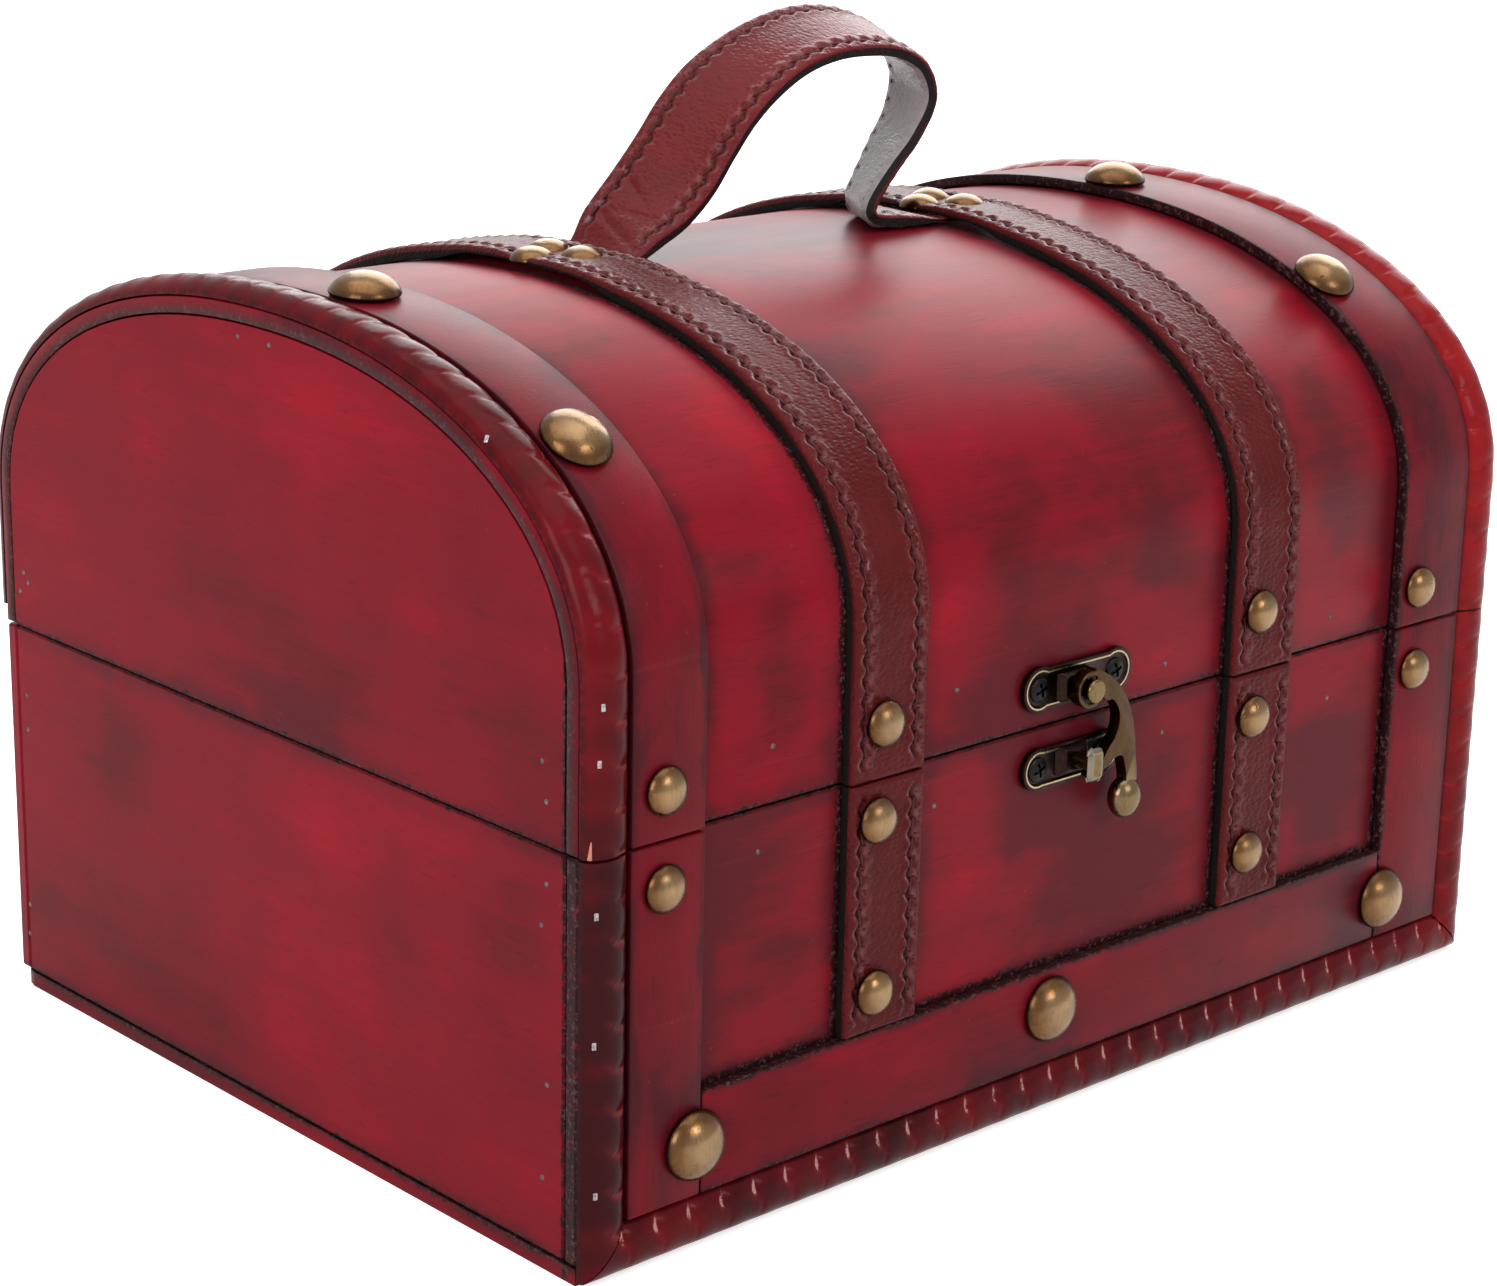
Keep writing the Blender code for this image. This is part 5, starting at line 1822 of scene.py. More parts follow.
@dataclass
class Handle:
    """The leather loop handle, whose feet lie under the straps.

    Each row of the route gives a place across as a share of a strap's place, a share of the rise, how far
    the width leans along and up, and how full the leather is. Each fold gives its place, its slope, its
    depth and the share across where it is deepest.
    """

    cut: LeatherCut = LeatherCut(width=18.8 * MM, lined=True)
    thickness: float = 2.6 * MM
    foot: float = 0.8 * MM
    rise: float = 35.4 * MM
    foot_middle: float = 141.85 * MM
    fold_width: float = 0.75 * MM
    folds: tuple[tuple[float, ...], ...] = (
        (17.5 * MM, 3.0 * MM, 0.55 * MM, 0.3), (21.5 * MM, -2.4 * MM, 0.45 * MM, -0.5),
        (25.0 * MM, 3.4 * MM, 0.35 * MM, 0.6),
    )
    route: tuple[tuple[float, ...], ...] = (
        (-1.060, 0.000, 0.00, 0.00, 0.0), (-0.900, 0.000, 0.00, 0.00, 0.0), (-0.812, 0.002, 0.00, 0.00, 0.0),
        (-0.765, 0.035, 0.00, 0.04, 0.5), (-0.690, 0.130, -0.06, 0.18, 1.0), (-0.560, 0.258, -0.14, 0.34, 1.0),
        (-0.440, 0.410, -0.18, 0.42, 1.0), (-0.334, 0.580, -0.16, 0.43, 1.0), (-0.217, 0.734, -0.09, 0.40, 1.0),
        (-0.080, 0.853, -0.02, 0.34, 1.0), (0.072, 0.942, 0.04, 0.31, 1.0), (0.232, 0.992, 0.07, 0.31, 1.0),
        (0.398, 1.000, 0.10, 0.31, 1.0), (0.570, 0.965, 0.13, 0.27, 1.0), (0.720, 0.870, 0.20, 0.24, 1.0),
        (0.805, 0.700, 0.34, 0.22, 1.0), (0.755, 0.500, 0.46, 0.16, 1.0), (0.665, 0.350, 0.50, 0.08, 1.0),
        (0.590, 0.220, 0.53, 0.02, 1.0), (0.545, 0.130, 0.54, 0.00, 1.0), (0.540, 0.075, 0.54, 0.00, 1.0),
        (0.570, 0.037, 0.48, 0.00, 1.0), (0.640, 0.022, 0.30, 0.00, 0.95), (0.720, 0.012, 0.12, 0.00, 0.6),
        (0.800, 0.002, 0.00, 0.00, 0.0), (0.900, 0.000, 0.00, 0.00, 0.0), (1.060, 0.000, 0.00, 0.00, 0.0),
    )

    def __post_init__(self) -> None:
        """Trace the smooth route: its middles, leans, fullness and lengths."""
        across, up, along_lean, up_lean, full = smooth_line(np.array(self.route), 20).T
        x = across * SIZES.strap_centre - SIZES.dress_shift
        self.middles = np.stack([x, np.zeros(len(x)), self.foot_middle + up * self.rise], axis=1)
        self.leans = np.stack([along_lean, up_lean], axis=1)
        self.fullness = fade(full)
        steps = np.linalg.norm(np.diff(self.middles, axis=0), axis=1)
        self.lengths = np.concatenate([[0.0], np.cumsum(steps)])
        self.length = float(self.lengths[-1])

    def read(self, along: Array, table: Array) -> Array:
        """Read a table of the route at lengths along it."""
        return np.stack([np.interp(along, self.lengths, column) for column in table.T], axis=1)

    def frame_at(self, along: Array) -> tuple[Array, Array, Array, Array]:
        """Find how the leather lies at lengths along the route.

        Args:
            along: The lengths.

        Returns:
            The middle, the direction across, the direction out and the thickness.
        """
        step = 0.6 * MM
        tangent = self.read(along + step, self.middles) - self.read(along - step, self.middles)
        tangent = tangent / np.linalg.norm(tangent, axis=1, keepdims=True)
        lean = self.read(along, self.leans)
        across = np.stack([lean[:, 0], np.sqrt(1 - lean[:, 0] ** 2 - lean[:, 1] ** 2), lean[:, 1]], axis=1)
        out = np.cross(tangent, across)
        out = out / np.linalg.norm(out, axis=1, keepdims=True)
        thick = self.foot + np.interp(along, self.lengths, self.fullness) * (self.thickness - self.foot)
        return self.read(along, self.middles), across, out, thick

    def sewn(self, along: Array) -> Array:
        """Return how strongly the rows are sewn, which fades where the feet are pressed flat."""
        return fade(np.interp(along, self.lengths, self.fullness) * 1.6 - 0.5)

    def folded(self, across: Array, along: Array) -> Array:
        """Return how deep the folds are that cross the left leg near its foot."""
        return sum(
            deep * hump(along - place - slope * across, self.fold_width) * fade(1.2 - np.abs(across - deepest))
            for place, slope, deep, deepest in self.folds
        )

    def shape(self, side: Array, up: Array, along: Array) -> Array:
        """Lay the section along the route.

        Args:
            side: The places across.
            up: The shares of the thickness.
            along: The lengths.

        Returns:
            The points.
        """
        middle, across, out, thick = self.frame_at(along)
        rise = self.cut.relief(side, along, self.sewn(along)) - self.folded(side, along)
        under = -self.cut.relief(side, along + self.cut.pitch / 2, self.sewn(along)) * 0.7
        height = np.where(up >= 1.0, thick / 2 + rise, np.where(up <= 0.0, -thick / 2 + under, (up - 0.5) * thick))
        return middle + across * (side * self.cut.width / 2)[:, None] + out * height[:, None]

    def stitches(self) -> Piece:
        """Sew both rows, on the face and on the lining.

        Returns:
            The stitches, in one mesh.
        """
        cut, places = self.cut, []
        for number in range(1, int(self.length / cut.pitch)):
            along = np.array([(number + 0.5) * cut.pitch])
            if self.sewn(along)[0] < 0.9:
                continue
            middle, across, out, thick = (value[0] for value in self.frame_at(along))
            for _, side in SIDES:
                for face in (-1, 1):
                    height = face * (thick / 2 - cut.row_depth * 0.40)
                    point = middle + across * side * (cut.width / 2 - cut.inset(side, along[0])) + out * height
                    tangent = np.cross(across, out)
                    turn = Matrix((tangent, out * face, np.cross(tangent, out * face))).transposed().to_4x4()
                    places.append(Matrix.Translation(point) @ turn @ Matrix.Rotation(side * cut.tilt, 4, "Y"))
        pattern = cut.stitch()
        piece = Bench.scatter("handle_stitches", pattern, places)
        Bench.put_away(pattern)
        return piece

    def build(self) -> None:
        """Add the handle and its stitches."""
        piece = self.cut.sleeve("handle_loop", 0.0, self.length, self.sewn, self.shape)
        settle(piece, Body.LID, HANDLE_LEATHER, ["handle"], 50.0)
        settle(self.stitches(), Body.LID, THREAD)


@dataclass
class Nails:
    """The domed nail heads on the bands, the straps and the handle's feet."""

    large_rise: float = 3.8 * MM
    medium_rise: float = 2.6 * MM
    rim: float = 0.35 * MM
    band_out: float = 2.6 * MM
    strap_out: float = 3.0 * MM
    sunk: float = 1.9 * MM

    def head(self, name: str, diameter: float, rise: float) -> Piece:
        """Make a domed head that stands on the origin and points up.

        Args:
            name: The pattern's name.
            diameter: Its diameter.
            rise: Its height.

        Returns:
            The pattern.
        """
        radius = diameter / 2
        piece = Bench.ball(name, 40, 28, radius)
        with Bench.editing(piece):
            bpy.ops.mesh.bisect(plane_co=(0.0, 0.0, 0.0), plane_no=(0.0, 0.0, 1.0), clear_inner=True)

        def dome(points: Array) -> Array:
            """Flatten the half ball to a dome over the rim."""
            out = fade(np.hypot(points[:, 0], points[:, 1]) / radius)
            up = self.rim + (rise - self.rim) * np.maximum(1.0 - out ** 2, 0.0) ** 0.62
            return np.stack([points[:, 0], points[:, 1], up], axis=1)

        Bench.reshape(piece, dome)
        with Bench.editing(piece, Kind.EDGES, lambda edge: edge.is_boundary):
            bpy.ops.mesh.extrude_region_move(TRANSFORM_OT_translate={"value": (0.0, 0.0, -self.rim)})
            bpy.ops.transform.resize(value=(0.97, 0.97, 1.0))
            bpy.ops.mesh.edge_face_add()
        Bench.clean(piece)
        Bench.smooth(piece, 50.0)
        up = Bench.points(piece)[:, 2] / rise
        # Painted shade over the lower two thirds of the dome, with patina at the rim.
        Bench.mark(piece, "foot", fade(1.0 - up / 0.66) ** 1.4)
        # Painted highlight on the top of the dome, with abrasion.
        Bench.mark(piece, "worn", 0.35 * fade(up / 0.4 - 1.5))
        return piece

    def seats(self, straps: Straps) -> Iterator[tuple[str, float, Vector, float | None]]:
        """Work out where each nail goes.

        Args:
            straps: The straps that the handle's nails go through.

        Yields:
            The plain solid that it stands for, its width, the place of its foot, and its length along the
            lid's curve where it is on the crown.
        """
        large, medium = NAIL_PLAN.large, NAIL_PLAN.medium
        inner_edges = (SIZES.left_band_inner, SIZES.right_band_inner)
        middle = (SIZES.bottom_band_low + SIZES.bottom_band_high) / 2
        ends = (SIZES.left_band_inner, 0.0, SIZES.right_band_inner)
        for label, end, (across, up) in zip(("left", "middle", "right"), ends, NAIL_PLAN.on_bottom):
            seat = on_front(end + across * large, middle + up * large, self.band_out)
            yield "bottom_nail_" + label, large, seat, None
        for (label, side), edge, shares in zip(SIDES, inner_edges, NAIL_PLAN.on_lid):
            for place, (inset, turn_share) in zip(("_front", "_top"), shares):
                length = PATH.length_at_turn(turn_share)
                seat = Vector((edge + side * inset * large, *PATH.spot(length, self.band_out)))
                yield "lid_nail_" + label + place, large, seat, length
        for (label, side), edge, shares in zip(SIDES, inner_edges, NAIL_PLAN.on_bands):
            (lid_inset, lid_away), (base_inset, base_away) = shares
            seat = Vector((edge + side * lid_inset * medium, *PATH.spot(lid_away * medium, self.band_out)))
            yield "lid_band_nail_" + label, medium, seat, None
            seat = on_front(edge + side * base_inset * medium, SIZES.base_rim - base_away * medium, self.band_out)
            yield "base_band_nail_" + label, medium, seat, None
        for (label, side), shares in zip(SIDES, NAIL_PLAN.on_straps):
            x = strap_middle(side)
            (lid_across, lid_away), (top_across, top_away), (foot_across, foot_away) = shares
            seat = Vector((x + lid_across * medium, *PATH.spot(lid_away * medium, self.strap_out)))
            yield "lid_strap_nail_" + label, medium, seat, None
            for place, across, z in (
                ("_upper", top_across, SIZES.base_rim - top_away * medium),
                ("_lower", foot_across, SIZES.bottom_band_high + foot_away * medium),
            ):
                seat = on_front(x + across * medium, z, self.strap_out)
                yield "base_strap_nail_" + label + place, medium, seat, None
            for number, (along, across) in enumerate(NAIL_PLAN.on_feet, start=1):
                length = PATH.length / 2 + across * NAIL_PLAN.handle_half
                out = float(straps.outer(np.array([length]))[0]) + SIZES.gap - self.sunk
                seat = Vector((x + along * SIZES.strap_width / 2, *PATH.spot(length, out)))
                yield "handle_nail_" + label + "_" + str(number), medium, seat, length

    def build(self, straps: Straps) -> None:
        """Set all the nails.

        Args:
            straps: The straps that the handle's nails go through.
        """
        heads = {
            NAIL_PLAN.large: self.head("large_head", NAIL_PLAN.large, self.large_rise),
            NAIL_PLAN.medium: self.head("medium_head", NAIL_PLAN.medium, self.medium_rise),
        }
        for node, size, seat, length in self.seats(straps):
            out = FRONT if length is None else PATH.normal(length)
            turn = Vector((0.0, 0.0, 1.0)).rotation_difference(out).to_matrix().to_4x4()
            piece = Bench.copy(heads[size], "head_" + node, Matrix.Translation(seat) @ turn)
            body = Body.BASE if node.startswith(("base", "bottom")) else Body.LID
            settle(piece, body, NAIL_BRASS, [node])
        for pattern in heads.values():
            Bench.put_away(pattern)


@dataclass
class Clasp:
    """The swing hook, the plate that it turns on and the keeper with its headed post."""

    thickness: float = 1.0 * MM
    boss_rise: float = 1.2 * MM
    waist: float = 3.68 * MM
    rim: float = 0.55 * MM
    line: float = 0.22 * MM
    latch_z: float = 77.6 * MM
    keeper_z: float = 63.4 * MM
    pivot: Pair = (-4.0 * MM, 77.1 * MM)
    post: Pair = (-3.6 * MM, 64.0 * MM)
    post_half: Pair = (1.9 * MM, 3.0 * MM)
    shaft_back: float = 2.0 * MM
    hook_back: float = 3.1 * MM
    hook_thickness: float = 2.4 * MM
    hook_length: float = 22.0 * MM
    ball_share: Pair = (0.500, 0.985)
    outline: tuple[Pair, ...] = (
        (0.035, 0.148), (0.160, 0.105), (0.300, 0.000), (0.415, -0.145), (0.490, -0.315),
        (0.530, -0.480), (0.552, -0.650), (0.575, -0.780), (0.560, -0.900), (0.470, -0.900),
        (0.452, -0.780), (0.430, -0.700), (0.400, -0.620), (0.335, -0.605), (0.235, -0.645),
        (0.135, -0.710), (0.040, -0.725), (0.052, -0.685), (0.105, -0.660), (0.160, -0.605),
        (0.225, -0.520), (0.300, -0.440), (0.340, -0.330), (0.325, -0.220), (0.250, -0.125), (0.150, -0.100),
    )

    def slab(self, name: str, points: Array, back: float, front: float) -> Piece:
        """Make a flat shape of an outline that stands between two distances from the front face.

        Args:
            name: The piece's name.
            points: The outline as rows of x and z.
            back: The distance of its back.
            front: The distance of its front.

        Returns:
            The slab.
        """
        Bench.clear()
        bpy.ops.mesh.primitive_circle_add(vertices=len(points), radius=1.0, fill_type="NGON")
        piece = Bench.named(name)
        Bench.reshape(piece, lambda _: np.insert(points, 1, -SIZES.half_depth - back, axis=1))
        with Bench.editing(piece):
            bpy.ops.mesh.extrude_region_move(TRANSFORM_OT_translate={"value": (0.0, back - front, 0.0)})
            bpy.ops.mesh.select_all(action="SELECT")
            bpy.ops.mesh.normals_make_consistent(inside=False)
        return piece

    def plate(self, name: str, left: float, right: float, radius: float, height: float) -> Piece:
        """Make a plate with a round lobe at each end, a narrower waist and a raised rim.

        Args:
            name: The piece's name.
            left: The middle of the left lobe on X.
            right: The middle of the right lobe on X.
            radius: The lobes' radius.
            height: The height of its middle.

        Returns:
            The plate.
        """
        front = SIZES.gap + self.thickness
        corner = math.acos(self.waist / radius)
        rows = []
        for middle, start, reach in ((left, QUARTER - corner, corner), (right, 3 * QUARTER - corner, corner)):
            turns = np.linspace(start, start + math.pi + 2 * reach, 29)
            rows.append(np.stack([middle + radius * np.cos(turns), height + radius * np.sin(turns)], axis=1))
        outline = np.concatenate(rows)
        piece = self.slab(name, outline, SIZES.gap, front)
        with Bench.editing(piece, test=Bench.faces_front):
            for width, depth in ((self.rim, 0.0), (self.line, 0.0), (self.line, 0.0), (0.25 * MM, -0.38 * MM)):
                bpy.ops.mesh.inset(thickness=width, depth=depth)
        Bench.soften(piece, 0.10 * MM, 2, 30.0)
        steps = np.linspace(0.0, 1.0, 24)[:, None, None]
        ring = (outline + (np.roll(outline, -1, axis=0) - outline) * steps).reshape(-1, 2)
        points = Bench.points(piece)
        inside = np.sqrt(((points[:, None, (0, 2)] - ring[None]) ** 2).sum(axis=2).min(axis=1))
        band = fade(1.0 - np.abs(inside - self.rim - self.line) / (self.line * 0.9))
        Bench.mark(piece, "worn", band * (-points[:, 1] - SIZES.half_depth > front - 0.12 * MM))
        return piece

    def boss(self, name: str, at: Pair, length: float = 8.4 * MM, height: float = 5.6 * MM) -> Piece:
        """Make the raised middle of a plate, a block that narrows towards its top.

        Args:
            name: The piece's name.
            at: Its middle.
            length: Its length.
            height: Its height.

        Returns:
            The boss.
        """
        x, z = at
        back, front = SIZES.gap + self.thickness / 2, SIZES.gap + self.thickness + self.boss_rise
        low = on_front(x - length / 2, z - height / 2, front)
        piece = Bench.block(name, low, on_front(x + length / 2, z + height / 2, back))
        with Bench.editing(piece, test=Bench.faces_front):
            bpy.ops.transform.resize(value=(0.62, 1.0, 0.74), center_override=tuple(on_front(x, z, front)))
        Bench.soften(piece, 0.5 * MM, 4, 30.0)
        return piece

    def screw(self, name: str, x: float, z: float, size: float, out: float, way: float = -1.0) -> Piece:
        """Make a countersunk screw head with a cross slot.

        Args:
            name: The piece's name.
            x: Its place across.
            z: Its height.
            size: Its diameter.
            out: The distance of its foot from the face that it stands on.
            way: -1 for the front of the box, 1 for its back.

        Returns:
            The screw head.
        """
        piece = Bench.ball(name, 32, 16, size / 2)
        with Bench.editing(piece):
            bpy.ops.mesh.bisect(plane_co=(0.0, 0.0, 0.0), plane_no=(0.0, 0.0, 1.0), use_fill=True, clear_inner=True)
        piece.data.transform(Matrix.Diagonal((1.0, 1.0, 0.30, 1.0)))
        rise, reach, thin = size * 0.15, size * 0.31, size * 0.065
        for turn in (0.0, QUARTER):
            slot = Bench.block("slot", (-reach, -thin, rise * 0.25), (reach, thin, rise * 2))
            slot.data.transform(Matrix.Rotation(turn + 0.3, 4, "Z"))
            Bench.fuse(piece, [slot], cut=True)
        turn = Matrix.Rotation(-way * QUARTER, 4, "X")
        piece.data.transform(Matrix.Translation((x, way * (SIZES.half_depth + out), z)) @ turn)
        Bench.clean(piece)
        return piece

    def rivet(self) -> Piece:
        """Make the rivet's shaft and its domed head, which hold the hook.

        Returns:
            The rivet.
        """
        x, z = self.pivot
        top = self.hook_back + self.hook_thickness + SIZES.gap
        shaft = Bench.disc("rivet_head", 1.2 * MM, top - self.shaft_back, on_front(x, z, self.shaft_back), 32)
        head = Bench.disc("rivet_cap", 2.1 * MM, 1.0 * MM, on_front(x, z, top))
        Bench.soften(head, 0.42 * MM, 4)
        Bench.fuse(shaft, [head])
        out = -Bench.points(shaft)[:, 1] - SIZES.half_depth
        # Painted shade on the shaft and the lower half of the cap, where it meets the hook.
        Bench.mark(shaft, "foot", fade(1.0 - (out - top) / (0.5 * MM)))
        return shaft

    def headed_post(self) -> Piece:
        """Make the post with its faceted head.

        Returns:
            The post.
        """
        (x, z), (half_x, half_z) = self.post, self.post_half
        top = self.hook_back + self.hook_thickness + SIZES.gap
        depth = top + 0.7 * MM - self.shaft_back
        shaft = Bench.disc("post_head", 1.4 * MM, depth, on_front(x, z, self.shaft_back), 32)
        low = on_front(x - half_x, z - half_z, top + 1.4 * MM)
        head = Bench.block("post_cap", low, on_front(x + half_x, z + half_z, top))
        with Bench.editing(head, Kind.EDGES, lambda edge: Bench.reach(edge, 1) > 1.0 * MM):
            bpy.ops.mesh.bevel(offset=1.1 * MM, segments=2, affect="EDGES")
        Bench.soften(head, 0.62 * MM, 1, 60.0)
        Bench.soften(head, 0.10 * MM, 2, 25.0)
        with Bench.editing(head, test=lambda face: face.normal.y < -0.99):
            bpy.ops.mesh.inset(thickness=0.28 * MM, depth=-0.04 * MM)
            bpy.ops.mesh.inset(thickness=0.10 * MM, depth=0.0)
        Bench.fuse(shaft, [head])
        points = Bench.points(shaft)
        from_edge = np.minimum(half_x - np.abs(points[:, 0] - x), half_z - np.abs(points[:, 2] - z))
        out = -points[:, 1] - SIZES.half_depth
        edge = fade((1.05 * MM - from_edge) / (0.12 * MM))
        Bench.mark(shaft, "worn", 0.8 * edge * (out > top + 0.5 * MM))
        # Painted shade on the shaft under the head.
        Bench.mark(shaft, "foot", (out < top - 0.05 * MM).astype(float))
        return shaft

    def swing_hook(self) -> Piece:
        """Make the hook: a hub, a curved arm with a claw, and a ball at its tail.

        Returns:
            The hook.
        """
        x, z = self.pivot
        back, front = self.hook_back, self.hook_back + self.hook_thickness
        points = smooth_line(np.array(self.outline), 4, closed=True) * self.hook_length + (x, z)
        arm = self.slab("swing_hook", points[::-1], back, front)
        Bench.soften(arm, 0.85 * MM, 5)
        hub = Bench.disc("hub", 3.3 * MM, self.hook_thickness, on_front(x, z, back), 64)
        with Bench.editing(hub, test=Bench.faces_front):
            bpy.ops.mesh.inset(thickness=0.75 * MM, depth=0.0)
            bpy.ops.mesh.inset(thickness=0.2 * MM, depth=-0.3 * MM)
        Bench.soften(hub, 0.22 * MM)
        across, down = (share * self.hook_length for share in self.ball_share)
        middle = on_front(x + across, z - down, (back + front) / 2)
        ball = Bench.ball("ball", 40, 24, 3.6 * MM, middle, (0.92, 0.72, 1.06))
        Bench.fuse(arm, [hub, ball])
        Bench.fuse(arm, [Bench.disc("bore", 1.5 * MM, 8.0 * MM, on_front(x, z, back - 3.0 * MM), 32)], cut=True)
        Bench.clean(arm)
        points = Bench.points(arm)
        out = -points[:, 1] - SIZES.half_depth
        low = points[:, 2] < z - 0.80 * self.hook_length
        # Painted highlight with abrasion: a band along the front edge, and the ball.
        edge = fade(1.0 - np.abs(out - front + 0.50 * MM) / (0.26 * MM))
        Bench.mark(arm, "worn", np.where(low, 0.30, edge))
        # Painted shade on the back part of the arm's sides; the hub's sunken middle is darkened too.
        side = np.where(low, 0.0, fade((front - 0.8 * MM - out) / (0.3 * MM)))
        ring = np.hypot(points[:, 0] - x, points[:, 2] - z)
        Bench.mark(arm, "foot", np.maximum(side, fade((2.55 * MM - ring) / (0.1 * MM))))
        return arm

    def build(self) -> None:
        """Add the clasp's plates, screws, rivet, post and hook."""
        top = SIZES.gap + self.thickness
        for label, body, left, right, radius, height, middle in (
            ("latch", Body.LID, -12.2 * MM, 6.6 * MM, 4.1 * MM, self.latch_z, self.pivot),
            ("keeper", Body.BASE, -11.8 * MM, 5.0 * MM, 3.8 * MM, self.keeper_z, self.post),
        ):
            piece = self.plate("clasp_" + label, left, right, radius, height)
            settle(piece, body, PLATE_BRONZE, [label + "_plate"], 35.0)
            piece = self.boss("clasp_middle_" + label, middle)
            settle(piece, body, PLATE_BRONZE, degrees=35.0)
            for place, x in (("left", left), ("right", right)):
                piece = self.screw("clasp_screw_" + label + "_" + place, x, height, 4.4 * MM, top - 0.35 * MM)
                settle(piece, body, SCREW_STEEL, degrees=40.0)
        settle(self.rivet(), Body.LID, POST_BRASS, degrees=40.0)
        settle(self.headed_post(), Body.BASE, POST_BRASS, degrees=25.0)
        settle(self.swing_hook(), Body.HOOK, HOOK_BRASS, ["latch_hook"], 35.0)


@dataclass
class Hinges:
    """The two butt hinges on the back."""

    centre: float = 69.0 * MM
    length: float = 18.0 * MM
    leaf_height: float = 11.0 * MM
    thickness: float = 1.0 * MM
    barrel: float = 1.75 * MM
    pin_radius: float = 0.8 * MM
    clearance: float = 0.3 * MM
    knuckle_share: float = 0.34

    def axle(self, name: str, radius: float, start: float, end: float, points: int) -> Piece:
        """Make a rod on the hinge's axis, between two places across."""
        middle = ((start + end) / 2, SIZES.half_depth + SIZES.gap + self.barrel, SIZES.parting)
        return Bench.rod(name, radius, end - start, middle, (0.0, QUARTER, 0.0), points)

    def leaf(self, name: str, centre: float, way: int) -> Piece:
        """Make one leaf, above (way 1) or below (way -1) the pin, with its part of the barrel.

        Args:
            name: The piece's name.
            centre: Its place across.
            way: Up or down.

        Returns:
            The leaf.
        """
        half = self.length / 2
        back = SIZES.half_depth + SIZES.gap
        near = SIZES.parting + way * (self.barrel + self.clearance)
        far = SIZES.parting + way * self.leaf_height
        low_z, high_z = sorted((near, far))
        piece = Bench.block(name, (centre - half, back, low_z), (centre + half, back + self.thickness, high_z))
        with Bench.editing(piece, Kind.EDGES, lambda edge: Bench.reach(edge, 1) > 0.5 * MM
                           and abs(edge.verts[0].co.z - far) < 0.1 * MM):
            bpy.ops.mesh.bevel(offset=2.0 * MM, segments=8, affect="EDGES")
        knuckle = self.length * self.knuckle_share / 2
        slot = knuckle + self.clearance
        for start, end in [(-knuckle, knuckle)] if way > 0 else [(-half, -slot), (slot, half)]:
            barrel = self.axle("barrel", self.barrel, centre + start, centre + end, 40)
            Bench.soften(barrel, 0.15 * MM, 2)
            low, high = sorted((near + way * 0.5 * MM, SIZES.parting))
            tongue = Bench.block("tongue", (centre + start, back, low), (centre + end, back + self.thickness, high))
            Bench.fuse(piece, [tongue, barrel])
        Bench.clean(piece)
        return piece

    def build(self, clasp: Clasp) -> None:
        """Add both hinges with their screws and their rounded pins.

        Args:
            clasp: The clasp, whose screw head is made here too.
        """
        for label, side in SIDES:
            centre = side * self.centre
            for part, body, way in (("base", Body.BASE, -1), ("lid", Body.LID, 1)):
                piece = self.leaf("hinge_" + part + "_" + label, centre, way)
                settle(piece, body, PLATE_BRONZE, ["hinge_" + part + "_leaf_" + label], 35.0)
                z = SIZES.parting + way * (self.leaf_height + self.barrel) / 2
                out = SIZES.gap + self.thickness - 0.05 * MM
                for number, x in enumerate((centre - self.length / 4, centre + self.length / 4)):
                    name = "hinge_screw_" + part + "_" + label + "_" + str(number)
                    piece = clasp.screw(name, x, z, 3.4 * MM, out, 1.0)
                    settle(piece, body, SCREW_STEEL, degrees=40.0)
            half = self.length / 2 + 0.25 * MM
            piece = self.axle("hinge_pin_" + label, self.pin_radius, centre - half, centre + half, 28)
            Bench.soften(piece, 0.3 * MM)
            settle(piece, Body.BASE, SCREW_STEEL, degrees=40.0)


